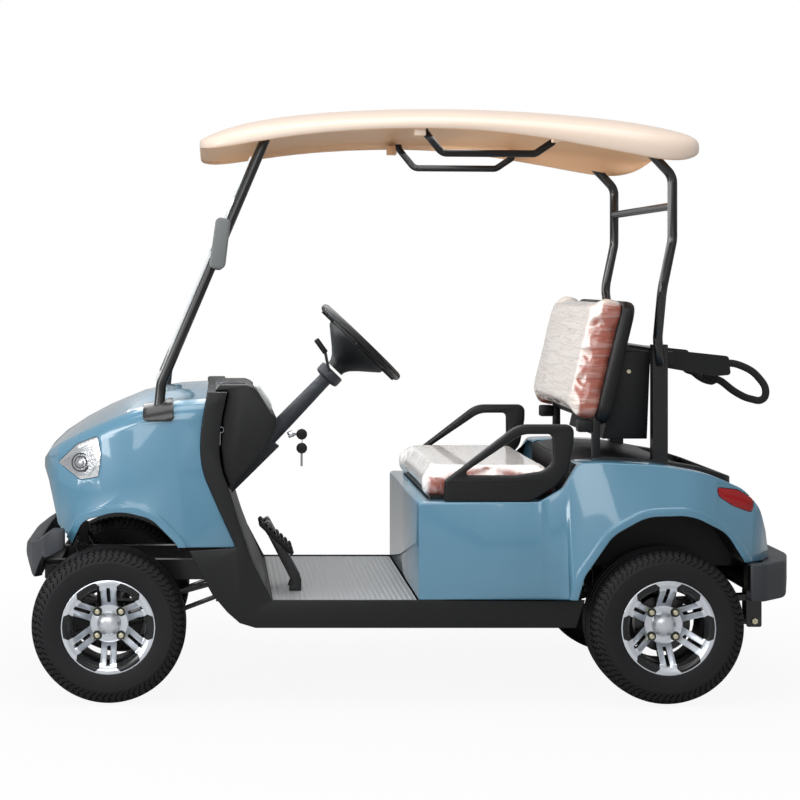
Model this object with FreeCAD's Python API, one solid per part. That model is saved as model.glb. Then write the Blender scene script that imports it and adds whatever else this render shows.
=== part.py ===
import FreeCAD, Part
import math
import os

from FreeCAD import Vector as V

# Two-seat golf cart, millimetres. While it is built the front axle is at x = 0,
# the rear is towards +x, the driver's side is -y and the ground is LIFT below z = 0.
# save() moves every piece so that the origin is on the ground, midway along the cart.

# Overall layout
WHEELBASE = 1666
FRONT_OVERHANG = 281
REAR_OVERHANG = 448
LIFT = 8
FRONT_TRACK = 946
REAR_TRACK = 984
BODY_HALF = 562
FENDER_HALF = 588

# Facets round the tubes, tyres and rims
TUBE_SIDES = 12
TYRE_SIDES = 64
RIM_SIDES = 48
HUB_SIDES = 24

# Wheels and tyres
TYRE_DIAMETER = 466
TYRE_WIDTH = 205
TREAD_WIDTH = 158
BEAD_DIAMETER = 254
RIM_WIDTH = 178
RIM_LIP = 14
RIM_WALL = 6
RIM_DROP = 12
SPOKE_COUNT = 6
SPOKE_HALF = 24
SLOT_HALF = 5
FACE_THICKNESS = 14
FACE_RECESS = 5
HUB_RADIUS = 62
HUB_DEEP = 78
HUB_THICKNESS = 16
LUG_CIRCLE = 101.6
LUG_RADIUS = 12
CAP_RADIUS = 33
BEAD_GAP = 0.3

# Steering and front axle
STEER_LOCK = 27
KINGPIN_Y = 395
KINGPIN_RADIUS = 11
KINGPIN_GAP = 0.05
EYE_RADIUS = 22
EYE_HEIGHT = 70
BEAM_SIZE = 44
STUB_RADIUS = 14
FRONT_DRUM_RADIUS = 56
REAR_DRUM_RADIUS = 84
DRUM_WIDTH = 34
ARM_LENGTH = 95
ARM_INSET = 30
TIE_ROD_RADIUS = 8
TIE_ROD_DROP = 62
TYRE_CLEARANCE = 14

# Springs
SPRING_WIDTH = 50
LEAF = 9
FRONT_SPRING_Y = 240
FRONT_DAMPER_Y = 273
REAR_DAMPER_Y = 285
DAMPER_EYE = 18
REAR_SPRING_Y = 345
AXLE_TUBE_RADIUS = 32
SHACKLE_LENGTH = 73

# Frame
RAIL_Y = 190
RAIL_WIDTH = 40
RAIL_HEIGHT = 62
RAIL_FRONT_Z = 352
RAIL_REAR_Z = 398

# Floor and sills
FLOOR_Z = 297
FLOOR_SHEET = 6
SILL_BOTTOM = 222
SILL_TOP = 306
SILL_SHEET = 8
SILL_END = 1422
FLOOR_END = 1312
MAT_THICKNESS = 6
CROSS_HALF = 20

# Body panels
PANEL = 5
LINER_SHEET = 4
SEAT_BOX_FRONT = 926
SEAT_BOX_TOP = 597
GAP = 0.3
BUMPER_WALL = 7

# Seat
CUSHION_FRONT = 944
CUSHION_REAR = 1371
CUSHION_HALF = 478
CUSHION_THICKNESS = 72
BOARD_THICKNESS = 12
BACK_HALF = 450
BACK_LEAN = 12
BACK_THICKNESS = 72
BACK_HEIGHT = 372
SHELL_THICKNESS = 28

# Roof
ROOF_HALF = 585
ROOF_SHEET = 6
ROOF_FRONT = 271
ROOF_REAR = 1800
PANEL_RECESS = 12
PANEL_SHEET = 4

# Steering column and wheel
COLUMN_Y = -265
COLUMN_ANGLE = 46
COLUMN_RADIUS = 22
WHEEL_CENTRE_X = 772
WHEEL_CENTRE_Z = 1066
STEERING_WHEEL_DIAMETER = 330
GRIP_RADIUS = 13
HUB_DEPTH = 108
SLEEVE_RADIUS = 31

AXLE_Z = TYRE_DIAMETER / 2 - LIFT
RAIL_MID_Z = FLOOR_Z - FLOOR_SHEET - GAP - RAIL_HEIGHT / 2
RIM_FACE = RIM_WIDTH / 2 + RIM_WALL - FACE_RECESS
HUB_FACE = RIM_FACE - HUB_DEEP - HUB_THICKNESS
ORIGIN_SHIFT = FRONT_OVERHANG - (FRONT_OVERHANG + WHEELBASE + REAR_OVERHANG) / 2


def save(name, *shapes):
    """Writes one node, moved so that the origin is midway along the cart."""
    shape = shapes[0] if len(shapes) == 1 else Part.makeCompound(list(shapes))
    moved = shape.copy()
    moved.translate(V(ORIGIN_SHIFT, 0, LIFT))
    moved.exportStep(f"parts/{name}.step")
    print(name, len(moved.Solids), moved.isValid(), round(moved.Volume / 1e6, 2))


def box(x0, x1, y0, y1, z0, z1):
    return Part.makeBox(x1 - x0, y1 - y0, z1 - z0, V(x0, y0, z0))


def mirrored(shape):
    """The same shape on the cart's other side."""
    return shape.mirror(V(0, 0, 0), V(0, 1, 0))


def fused(shapes):
    """One shape from pieces that touch."""
    result = shapes[0]
    if len(shapes) > 1:
        result = result.multiFuse(shapes[1:])
    return result.removeSplitter()


def rounded_wire(points, closed=True):
    """A wire through 3-D points, each given as (x, y, z, corner radius)."""
    spots = [V(*p[:3]) for p in points]
    radii = [p[3] for p in points]
    count = len(spots)
    starts, ends, mids = [], [], []
    for i, spot in enumerate(spots):
        radius = radii[i]
        if radius == 0 or (not closed and i in (0, count - 1)):
            starts.append(spot)
            ends.append(spot)
            mids.append(None)
            continue
        before = (spots[i - 1] - spot).normalize()
        after = (spots[(i + 1) % count] - spot).normalize()
        half = before.getAngle(after) / 2
        reach = radius / math.tan(half)
        bisector = (before + after).normalize()
        centre = spot + bisector * (radius / math.sin(half))
        starts.append(spot + before * reach)
        ends.append(spot + after * reach)
        mids.append(centre - bisector * radius)
    edges = []
    for i in range(count):
        if mids[i] is not None:
            edges.append(Part.Arc(starts[i], mids[i], ends[i]).toShape())
        if i == count - 1 and not closed:
            break
        following = (i + 1) % count
        if ends[i].distanceToPoint(starts[following]) > 1e-6:
            edges.append(Part.LineSegment(ends[i], starts[following]).toShape())
    return Part.Wire(edges)


def side_face(points, y=0):
    """A face in a plane of constant y, from (x, z) or (x, z, corner radius)."""
    full = [(p[0], y, p[1], p[2] if len(p) > 2 else 0) for p in points]
    return Part.Face(rounded_wire(full))


def side_prism(points, y0, y1):
    """A side outline pulled across the cart from y0 to y1."""
    return side_face(points, y0).extrude(V(0, y1 - y0, 0))


def plan_prism(points, z0, z1):
    """A plan outline (x, y[, corner radius]) pulled up from z0 to z1."""
    full = [(p[0], p[1], z0, p[2] if len(p) > 2 else 0) for p in points]
    return Part.Face(rounded_wire(full)).extrude(V(0, 0, z1 - z0))


def rod(start, end, radius):
    """A round bar between two points."""
    a, b = V(*start), V(*end)
    return Part.makeCylinder(radius, (b - a).Length, a, b - a)


def tube_path(points, radius):
    """A tube along 3-D points given as (x, y, z, bend radius)."""
    path = rounded_wire(points, closed=False)
    first = V(*points[0][:3])
    along = (V(*points[1][:3]) - first).normalize()
    across = along.cross(V(0, 1, 0)).normalize()
    upward = along.cross(across)
    ring = []
    for i in range(TUBE_SIDES + 1):
        angle = 2 * math.pi * i / TUBE_SIDES
        ring.append(first + across * (radius * math.cos(angle)) + upward * (radius * math.sin(angle)))
    return path.makePipeShell([Part.makePolygon(ring)], True, False)


def facet_ring(profile, centre, sides):
    """A ring about a y axis with flat facets: profile (distance across, radius) repeated at equal turns."""
    rows = []
    for i in range(sides):
        angle = 2 * math.pi * i / sides
        rows.append([V(centre[0] + r * math.cos(angle), centre[1] + a, centre[2] + r * math.sin(angle))
                     for a, r in profile])
    faces = []
    for i in range(sides):
        here, after = rows[i], rows[(i + 1) % sides]
        for j in range(len(profile)):
            k = (j + 1) % len(profile)
            corners = [here[j], here[k], after[k], after[j], here[j]]
            faces.append(Part.Face(Part.makePolygon(corners)))
    solid = Part.Solid(Part.makeShell(faces))
    if solid.Volume < 0:
        solid.reverse()
    return solid


def curve_edge(points):
    """A smooth edge through 3-D points."""
    curve = Part.BSplineCurve()
    curve.interpolate([V(*p) for p in points])
    return curve.toShape()


def turned_about_y(profile, centre):
    """A wheel-like solid: profile (distance across, radius[, corner]) turned about a y axis."""
    full = [(centre[0], centre[1] + p[0], centre[2] + p[1], p[2] if len(p) > 2 else 0) for p in profile]
    return Part.Face(rounded_wire(full)).revolve(V(*centre), V(0, 1, 0), 360)


# Wheels


def tyre(centre):
    """The tyre's outer form, seated on the rim's bead with a hair of clearance."""
    bead = BEAD_DIAMETER / 2 + BEAD_GAP
    outer = TYRE_DIAMETER / 2
    seat = RIM_WIDTH / 2 - BEAD_GAP
    flange = BEAD_DIAMETER / 2 + RIM_LIP + 2
    half = TYRE_WIDTH / 2
    right = [(TREAD_WIDTH / 2, outer), (half, outer - 34), (half - 2, flange + 24), (seat, flange), (seat, bead)]
    left = [(-a, r) for a, r in reversed(right)]
    return facet_ring(right + left, centre, TYRE_SIDES)


def rim_barrel(centre, side):
    """The rim: two lips, bead seats and a drop centre, open on the inboard side."""
    bead = BEAD_DIAMETER / 2
    half = RIM_WIDTH / 2
    lip = bead + RIM_LIP
    inside = bead - RIM_DROP - RIM_WALL
    profile = [
        (half, bead), (half, lip), (half + RIM_WALL, lip), (half + RIM_WALL, bead + 3), (half + 1, bead - RIM_WALL),
        (half - 12, inside + 4),
        (half - 30, inside), (-half - RIM_WALL, inside + 4), (-half - RIM_WALL, lip), (-half, lip), (-half, bead),
        (-half + 20, bead), (-half + 40, bead - RIM_DROP), (half - 50, bead - RIM_DROP), (half - 30, bead),
    ]
    return facet_ring([(side * a, r) for a, r in profile], centre, RIM_SIDES)


def wheel(centre, side):
    """The alloy wheel: barrel, dished double spokes with slots, hub with lug pockets and a domed cap."""
    rim_inside = BEAD_DIAMETER / 2 - 4
    hub_face = RIM_FACE - HUB_DEEP
    hub_back = hub_face - HUB_THICKNESS
    spoke_back = RIM_FACE - FACE_THICKNESS
    dish = [(RIM_FACE, rim_inside), (RIM_FACE - 2, rim_inside - 12), (hub_face + 8, HUB_RADIUS + 2),
            (hub_face, HUB_RADIUS - 6), (hub_face, 4), (hub_back, 4), (hub_back, HUB_RADIUS + 4),
            (spoke_back, rim_inside - 4), (spoke_back, rim_inside)]
    face = facet_ring([(-a, r) for a, r in dish], (0, 0, 0), RIM_SIDES)
    low, high = hub_back - 1, RIM_FACE + 1
    window = spoke_window(rim_inside + 1, low, high)
    slot = rounded_slot(HUB_RADIUS + 4, rim_inside - 6, SLOT_HALF, low, high)
    step = 360 / SPOKE_COUNT
    cuts = []
    for i in range(SPOKE_COUNT):
        for tool, offset in ((window, step / 2), (slot, 0)):
            turned = tool.copy()
            turned.rotate(V(0, 0, 0), V(0, 0, 1), i * step + offset)
            cuts.append(turned)
    for i in range(4):
        angle = math.radians(45 + 90 * i)
        pocket = facet_disc(LUG_RADIUS, hub_face - 6, hub_face + 20, 8)
        pocket.translate(V(LUG_CIRCLE / 2 * math.cos(angle), LUG_CIRCLE / 2 * math.sin(angle), 0))
        cuts.append(pocket)
    cap = facet_disc(CAP_RADIUS, hub_face - 1, hub_face + 10, HUB_SIDES)
    dome = facet_disc(CAP_RADIUS - 10, hub_face + 10, hub_face + 20, HUB_SIDES, CAP_RADIUS)
    face.rotate(V(0, 0, 0), V(1, 0, 0), -90)
    face = face.cut(Part.makeCompound(cuts))
    face = fused([face, cap, dome])
    face.rotate(V(0, 0, 0), V(0, 0, 1), 90)
    face.rotate(V(0, 0, 0), V(1, 0, 0), -90 * side)
    face.translate(V(*centre))
    return fused([rim_barrel(centre, side), face])


def spoke_window(outer, low, high):
    """The opening between two neighbouring spokes, centred on the x axis, narrower again at the rim."""
    half_step = math.pi / SPOKE_COUNT
    apex = HUB_RADIUS - 4
    near = max(apex * math.tan(half_step) - SPOKE_HALF / math.cos(half_step), 7)
    wide = outer - 16
    swing = half_step - math.asin(SPOKE_HALF / wide)
    spots = [V(apex, -near, low), V(wide * math.cos(swing), -wide * math.sin(swing), low)]
    for i in range(-2, 3):
        turn = swing * 0.8 * i / 2
        spots.append(V(outer * math.cos(turn), outer * math.sin(turn), low))
    spots += [V(wide * math.cos(swing), wide * math.sin(swing), low), V(apex, near, low)]
    return Part.Face(Part.makePolygon(spots + [spots[0]])).extrude(V(0, 0, high - low))


def rounded_slot(start, end, half, low, high):
    """A slot along the x axis, cut through a spoke."""
    points = [(start, -half, low, 0), (end, -half, low, 0), (end, half, low, 0), (start, half, low, 0)]
    return Part.Face(rounded_wire(points)).extrude(V(0, 0, high - low))


def facet_disc(radius, low, high, sides, low_radius=None):
    """An upright disc or truncated cone with flat facets."""
    rings = []
    for r, z in ((low_radius or radius, low), (radius, high)):
        spots = [V(r * math.cos(2 * math.pi * i / sides), r * math.sin(2 * math.pi * i / sides), z)
                 for i in range(sides)]
        rings.append(Part.makePolygon(spots + [spots[0]]))
    return Part.makeLoft(rings, True, True)


def wheel_places():
    """Name, centre and outward side of each wheel."""
    return [
        ("front_left", (0, -FRONT_TRACK / 2, AXLE_Z), -1),
        ("front_right", (0, FRONT_TRACK / 2, AXLE_Z), 1),
        ("rear_left", (WHEELBASE, -REAR_TRACK / 2, AXLE_Z), -1),
        ("rear_right", (WHEELBASE, REAR_TRACK / 2, AXLE_Z), 1),
    ]


def steer_envelope():
    """The room that both front tyres need between their steering locks."""
    radius = TYRE_DIAMETER / 2 + TYRE_CLEARANCE
    shoulder = radius - 22
    half = TYRE_WIDTH / 2 + TYRE_CLEARANCE - 4
    tread = TREAD_WIDTH / 2 + 6
    pieces = []
    for angle in (-STEER_LOCK, -STEER_LOCK / 2, 0, STEER_LOCK / 2, STEER_LOCK):
        profile = [(tread, radius), (half, shoulder), (half, 0), (-half, 0), (-half, shoulder), (-tread, radius)]
        drum = turned_about_y(profile, (0, -FRONT_TRACK / 2, AXLE_Z))
        drum.rotate(V(0, -KINGPIN_Y, 0), V(0, 0, 1), angle)
        pieces += [drum, mirrored(drum)]
    return pieces


# Front axle and steering


def front_axle():
    """A square beam with a kingpin eye at each end and pads for the springs."""
    half = BEAM_SIZE / 2
    beam = box(-half, half, -KINGPIN_Y, KINGPIN_Y, AXLE_Z - half, AXLE_Z + half)
    parts = [beam]
    for side in (-1, 1):
        eye = Part.makeCylinder(EYE_RADIUS + 3, EYE_HEIGHT, V(0, side * KINGPIN_Y, AXLE_Z - EYE_HEIGHT / 2))
        parts.append(eye)
        centre = side * FRONT_SPRING_Y
        parts.append(box(-36, 36, centre - SPRING_WIDTH / 2, centre + SPRING_WIDTH / 2,
                         AXLE_Z - half - 6, AXLE_Z + half + 6))
        lug = side * (FRONT_DAMPER_Y + DAMPER_EYE + GAP)
        y0, y1 = sorted((lug, lug + side * 7))
        parts.append(box(-46, -10, y0, y1, AXLE_Z, AXLE_Z + 78))
    axle = fused(parts)
    for side in (-1, 1):
        bore = Part.makeCylinder(KINGPIN_RADIUS + KINGPIN_GAP, EYE_HEIGHT + 2,
                                 V(0, side * KINGPIN_Y, AXLE_Z - EYE_HEIGHT / 2 - 1))
        axle = axle.cut(bore)
    return axle


def knuckle():
    """The driver's side knuckle: fork, kingpin, stub axle and steering arm."""
    inner = EYE_HEIGHT / 2 + 1
    ear = 14
    side = -1
    pin_y = side * KINGPIN_Y
    back = side * (KINGPIN_Y + EYE_RADIUS + 8)
    plate_y = back + side * 12
    pin = Part.makeCylinder(KINGPIN_RADIUS, 2 * (inner + ear), V(0, pin_y, AXLE_Z - inner - ear))
    parts = [pin]
    for z in (AXLE_Z - inner - ear, AXLE_Z + inner):
        ear_outline = [(-EYE_RADIUS, pin_y + EYE_RADIUS, 12), (EYE_RADIUS, pin_y + EYE_RADIUS, 12),
                       (EYE_RADIUS, plate_y), (-EYE_RADIUS, plate_y)]
        parts.append(plan_prism(ear_outline, z, z + ear))
    parts.append(box(-EYE_RADIUS, EYE_RADIUS, plate_y, back, AXLE_Z - inner - ear, AXLE_Z + inner + ear))
    stub_end = side * (FRONT_TRACK / 2 + HUB_FACE - GAP)
    parts.append(rod((0, back, AXLE_Z), (0, stub_end, AXLE_Z), STUB_RADIUS))
    parts.append(rod((0, stub_end - side * DRUM_WIDTH, AXLE_Z), (0, stub_end, AXLE_Z), FRONT_DRUM_RADIUS))
    arm_z = AXLE_Z - TIE_ROD_DROP
    tip_y = side * (KINGPIN_Y - ARM_INSET)
    arm = [(0, pin_y - 14), (ARM_LENGTH, tip_y - 12, 8), (ARM_LENGTH + 12, tip_y, 6), (ARM_LENGTH, tip_y + 12, 8),
           (0, pin_y + 16)]
    parts.append(plan_prism(arm, arm_z, arm_z + 12))
    return fused(parts)


def tie_rod():
    """The rod between the two steering arms, hung under them on its ball pins."""
    z = AXLE_Z - TIE_ROD_DROP - 14
    tip = KINGPIN_Y - ARM_INSET
    bar = rod((ARM_LENGTH, -tip, z), (ARM_LENGTH, tip, z), TIE_ROD_RADIUS)
    ends = [Part.makeCylinder(13, 24 - GAP, V(ARM_LENGTH, s * tip, z - 10)) for s in (-1, 1)]
    return fused([bar] + ends)


# Springs and rear axle


def leaf(points, centre_y, thickness):
    """A bent leaf: its lower line, thickened upwards and pulled across its width."""
    last = len(points) - 1
    lower = [(x, z, 0 if i in (0, last) else 150) for i, (x, z) in enumerate(points)]
    upper = [(x, z + thickness, r) for x, z, r in reversed(lower)]
    return side_prism(lower + upper, centre_y - SPRING_WIDTH / 2, centre_y + SPRING_WIDTH / 2)


FRONT_SPRING_FRONT = -190
FRONT_SPRING_REAR = 322
SPRING_RISE = 58


def front_suspension():
    """Twin leaves above and below the axle on each side, their hangers and slanted dampers."""
    over = AXLE_Z + BEAM_SIZE / 2 + 6 + GAP
    under = AXLE_Z - BEAM_SIZE / 2 - 6 - GAP - LEAF
    ends = (FRONT_SPRING_FRONT, FRONT_SPRING_REAR)
    solids = []
    for side in (-1, 1):
        y = side * FRONT_SPRING_Y
        for low, rise in ((over, SPRING_RISE), (under, SPRING_RISE + 22)):
            points = [(ends[0], low + rise), (-74, low), (74, low), (ends[1] * 0.62, low + rise * 0.42),
                      (ends[1], low + rise)]
            solids.append(leaf(points, y, LEAF))
        hanger_top = RAIL_FRONT_Z - CROSS_HALF - GAP
        low_end = under + SPRING_RISE + 22
        hangers = []
        for x in ends:
            toward = -1 if x < 0 else 1
            x0, x1 = sorted((x, x + toward * 16))
            hangers.append(box(x0, x1, y - SPRING_WIDTH / 2, y + SPRING_WIDTH / 2, low_end - 8, hanger_top))
        rear_spring = fused([solids[-1], solids[-2]] + hangers)
        solids = solids[:-2] + [rear_spring]
        damper_y = side * FRONT_DAMPER_Y
        solids.append(damper((-30, damper_y, AXLE_Z + 64), (-118, damper_y, RAIL_FRONT_Z + 90)))
    return solids


def damper(low, high):
    """A telescopic damper: body, rod and a round eye at each end."""
    a, b = V(*low), V(*high)
    bottom = a + (b - a) * 0.12
    middle = a + (b - a) * 0.6
    parts = [
        Part.makeCylinder(9, (bottom - a).Length, a, b - a),
        Part.makeCylinder(DAMPER_EYE - 1, (middle - bottom).Length, bottom, b - a),
        Part.makeCylinder(7, (b - middle).Length, middle, b - a),
    ]
    for spot in (a, b):
        parts.append(Part.makeCylinder(14, 2 * DAMPER_EYE, spot - V(0, DAMPER_EYE, 0), V(0, 1, 0)))
    return fused(parts)


REAR_SPRING_FRONT = 1330
REAR_SPRING_REAR = 1970
REAR_SPRING_RISE = 40
REAR_SPRING_DROP = 14
REAR_SPRING_Z = AXLE_Z + AXLE_TUBE_RADIUS + 8 + GAP
SPRING_EYE = 17
FRONT_EYE_Z = REAR_SPRING_Z + REAR_SPRING_RISE + LEAF
REAR_EYE_Z = REAR_SPRING_Z + REAR_SPRING_DROP + LEAF


def rear_axle():
    """The axle tube with its differential, the motor block and a hub flange at each end."""
    hub_end = REAR_TRACK / 2 + HUB_FACE - GAP
    x, z = WHEELBASE, AXLE_Z
    parts = [rod((x, -hub_end, z), (x, hub_end, z), AXLE_TUBE_RADIUS)]
    housing = [(-70, 60), (-40, 96), (40, 96), (70, 60), (70, 0), (-70, 0)]
    parts.append(facet_ring([(a, max(r, 8)) for a, r in housing], (x, 60, z), HUB_SIDES))
    motor = [(-95, 88), (95, 88), (95, 8), (-95, 8)]
    parts.append(facet_ring(motor, (x, -100, z), HUB_SIDES))
    for side in (-1, 1):
        parts.append(rod((x, side * (hub_end - DRUM_WIDTH), z), (x, side * hub_end, z), REAR_DRUM_RADIUS))
        y = side * REAR_SPRING_Y
        half = SPRING_WIDTH / 2
        parts.append(box(x - 55, x + 55, y - half, y + half, z - 40, z + AXLE_TUBE_RADIUS + 8))
        lug = side * (REAR_DAMPER_Y - DAMPER_EYE - GAP)
        y0, y1 = sorted((lug, lug - side * 7))
        parts.append(box(x - 86, x - 10, y0, y1, z, z + 76))
    return fused(parts)


def rear_suspension():
    """Leaf packs on the axle pads, front eyes, rear shackles with their hanger plates, dampers."""
    low = REAR_SPRING_Z
    solids = []
    for side in (-1, 1):
        y = side * REAR_SPRING_Y
        x0, x1 = REAR_SPRING_FRONT, REAR_SPRING_REAR
        main = [(x0, low + REAR_SPRING_RISE), (WHEELBASE - 75, low), (WHEELBASE + 75, low),
                (x1, low + REAR_SPRING_DROP)]
        pieces = [leaf(main, y, 2 * LEAF)]
        for x, z in ((x0, FRONT_EYE_Z), (x1, REAR_EYE_Z)):
            pieces.append(Part.makeCylinder(SPRING_EYE, SPRING_WIDTH, V(x, y - SPRING_WIDTH / 2, z), V(0, 1, 0)))
        solids.append(fused(pieces))
        eye_z = REAR_EYE_Z
        plates = []
        for inward in (-1, 1):
            edge = y + inward * (SPRING_WIDTH / 2 + GAP)
            y0, y1 = sorted((edge, edge + inward * 6))
            outline = [(x1 - 24, eye_z + 22, 6), (x1 + 22, eye_z + 22, 6), (x1 + 22, eye_z - SHACKLE_LENGTH - 18, 6),
                       (x1 - 24, eye_z - SHACKLE_LENGTH - 18, 6)]
            plates.append(side_prism(outline, y0, y1))
        low_bolt = V(x1, y - SPRING_WIDTH / 2 - 7, eye_z - SHACKLE_LENGTH)
        plates.append(Part.makeCylinder(10, SPRING_WIDTH + 14, low_bolt, V(0, 1, 0)))
        solids.append(fused(plates))
        damper_y = side * REAR_DAMPER_Y
        solids.append(damper((WHEELBASE - 70, damper_y, AXLE_Z + 62), (WHEELBASE - 140, damper_y, 520)))
    return solids


# Frame, floor and battery


def chassis_frame():
    """Two rails that step up over both axles, with the cross members and brackets that are welded to them."""
    half = RAIL_HEIGHT / 2
    line = [(-205, RAIL_FRONT_Z), (345, RAIL_FRONT_Z), (450, RAIL_MID_Z), (1330, RAIL_MID_Z), (1470, RAIL_REAR_Z),
            (1990, RAIL_REAR_Z)]
    upper = [(x, z + half, 30 if 0 < i < 5 else 0) for i, (x, z) in enumerate(line)]
    lower = [(x, z - half, 30 if 0 < i < 5 else 0) for i, (x, z) in enumerate(line)]
    outline = upper + lower[::-1]
    inner, outer = RAIL_Y - RAIL_WIDTH / 2, RAIL_Y + RAIL_WIDTH / 2
    solids = [side_prism(outline, -outer, -inner), side_prism(outline, inner, outer)]
    spring_reach = FRONT_SPRING_Y + SPRING_WIDTH / 2
    crosses = [(FRONT_SPRING_FRONT, RAIL_FRONT_Z, spring_reach), (FRONT_SPRING_REAR - 4, RAIL_FRONT_Z, spring_reach),
               (620, RAIL_MID_Z, 520), (1000, RAIL_MID_Z, 520), (1300, RAIL_MID_Z, 520), (1560, RAIL_REAR_Z, inner),
               (REAR_SPRING_REAR, RAIL_REAR_Z, REAR_SPRING_Y + 40)]
    for x, z, reach in crosses:
        solids.append(box(x - CROSS_HALF, x + CROSS_HALF, -inner, inner, z - CROSS_HALF, z + CROSS_HALF))
        if reach > outer:
            arm = box(x - CROSS_HALF, x + CROSS_HALF, outer, reach, z - CROSS_HALF, z + CROSS_HALF)
            solids += [arm, mirrored(arm)]
    spring_in, spring_out = REAR_SPRING_Y - SPRING_WIDTH / 2, REAR_SPRING_Y + SPRING_WIDTH / 2
    brackets = [
        box(-224, FRONT_SPRING_FRONT - CROSS_HALF, 100, 140,
            FRONT_BUMPER_LOW + BUMPER_WALL + GAP, RAIL_FRONT_Z + CROSS_HALF),
        box(1990, 2046, RAIL_Y - 18, RAIL_Y + 18, RAIL_REAR_Z - 8, REAR_BUMPER_HIGH - BUMPER_WALL - GAP),
        box(REAR_SPRING_REAR - 20, REAR_SPRING_REAR + 18, spring_in, spring_out,
            REAR_EYE_Z + SPRING_EYE + GAP, RAIL_REAR_Z - CROSS_HALF),
        box(-134, -102, outer, FRONT_DAMPER_Y - DAMPER_EYE - GAP, RAIL_FRONT_Z, RAIL_FRONT_Z + 104),
        box(WHEELBASE - 156, WHEELBASE - 124, outer, REAR_DAMPER_Y - DAMPER_EYE - GAP, RAIL_REAR_Z, 534),
    ]
    for y in (spring_in - GAP - 6, spring_out + GAP):
        brackets.append(box(1320, REAR_SPRING_FRONT + 20, y, y + 6, RAIL_MID_Z - CROSS_HALF, FRONT_EYE_Z + 20))
    for bracket in brackets:
        solids += [bracket, mirrored(bracket)]
    return solids


FRONT_BUMPER_LOW = 350
FRONT_BUMPER_HIGH = 512
BUMPER_DIP = 466
REAR_BUMPER_LOW = 300
REAR_BUMPER_HIGH = 412
# The cowl's rear edge and the riser's rear face, from top to bottom: x, z
BORDER = [(298, 925), (283, 850), (275, 765), (283, 688), (306, 628), (334, 565), (381, 461)]
RISER = [(356, 925), (340, 850), (332, 765), (341, 688), (363, 628), (382, 565), (414, 461)]
TREAD_BOARD = (432, 414)


def line_curve(line, shift, y):
    """A smooth edge through x and z pairs, moved rearwards by shift."""
    return curve_edge([(x + shift, y, z) for x, z in line])


def side_plate(y0, y1):
    """One sill with the plate that fills the space between the cowl's rear edge and the riser."""
    front = line_curve(BORDER, GAP, y0)
    rear = line_curve(RISER, 0, y0)
    top_x, top_z = BORDER[0]
    low_x, low_z = BORDER[-1]
    points = [(low_x + GAP, low_z), (241, 452), (274, 388), (311, 321), (356, 268), (393, 236), (440, SILL_BOTTOM),
              (SILL_END - 26, SILL_BOTTOM), (SILL_END, SILL_TOP), (489, SILL_TOP), TREAD_BOARD, RISER[-1]]
    edges = [front, rear]
    spots = [V(x, y0, z) for x, z in points]
    for a, b in zip(spots, spots[1:]):
        edges.append(Part.LineSegment(a, b).toShape())
    edges.append(Part.LineSegment(V(RISER[0][0], y0, top_z), V(top_x + GAP, y0, top_z)).toShape())
    return Part.Face(Part.Wire(Part.__sortEdges__(edges))).extrude(V(0, y1 - y0, 0))


def floor_tray():
    """Floor sheet, riser behind the cowl and both side plates as one moulding."""
    inner = BODY_HALF - SILL_SHEET
    front = line_curve(RISER, -FLOOR_SHEET, -inner)
    rear = line_curve(RISER, 0, -inner)
    top_x, top_z = BORDER[0]
    riser_x, low_z = RISER[-1]
    tread_x, tread_z = TREAD_BOARD
    under = FLOOR_Z - FLOOR_SHEET
    spots = [V(x, -inner, z) for x, z in (
        (riser_x - FLOOR_SHEET, low_z), (tread_x - FLOOR_SHEET, tread_z), (478, under), (FLOOR_END, under),
        (FLOOR_END, FLOOR_Z), (484, FLOOR_Z), (tread_x, tread_z), (riser_x, low_z))]
    edges = [front, rear]
    for a, b in zip(spots, spots[1:]):
        edges.append(Part.LineSegment(a, b).toShape())
    top_end = RISER[0][0]
    edges.append(Part.LineSegment(V(top_end - FLOOR_SHEET, -inner, top_z), V(top_end, -inner, top_z)).toShape())
    sheet = Part.Face(Part.Wire(Part.__sortEdges__(edges))).extrude(V(0, 2 * inner, 0))
    cap = box(top_x + GAP, top_end - 2, -inner, inner, top_z - FLOOR_SHEET, top_z)
    sides = [side_plate(-BODY_HALF, -inner), side_plate(inner, BODY_HALF)]
    return fused([sheet, cap] + sides)


def floor_mat():
    """The ribbed mat on the floor between the sills."""
    half = BODY_HALF - SILL_SHEET - 20
    mat = box(492, SEAT_BOX_FRONT - 4, -half, half, FLOOR_Z + GAP, FLOOR_Z + MAT_THICKNESS)
    return mat


def battery_pack():
    """The traction batteries as one plain block on the frame under the seat."""
    return box(985, 1305, -430, 430, FLOOR_Z + GAP, FLOOR_Z + 268)


# Cowl and lamps

SIDE_LEAN = 12
SIDE_TUCK_SLOPE = 0.038
# Stations of the cowl from nose to rear: x, half width, top, drop at the shoulder, shoulder radius, crease, bottom
COWL_STATIONS = [
    (-212, 235, 708, 3, 10, 684, 676),
    (-192, 330, 742, 8, 24, 670, 640),
    (-160, 405, 772, 14, 40, 640, 516),
    (-95, 480, 815, 20, 50, 622, 452),
    (-20, 530, 855, 24, 55, 626, 440),
    (90, 556, 901, 26, 58, 655, 440),
    (210, 562, 925, 26, 60, 690, 440),
    (380, 562, 935, 26, 60, 740, 440),
]


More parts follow.
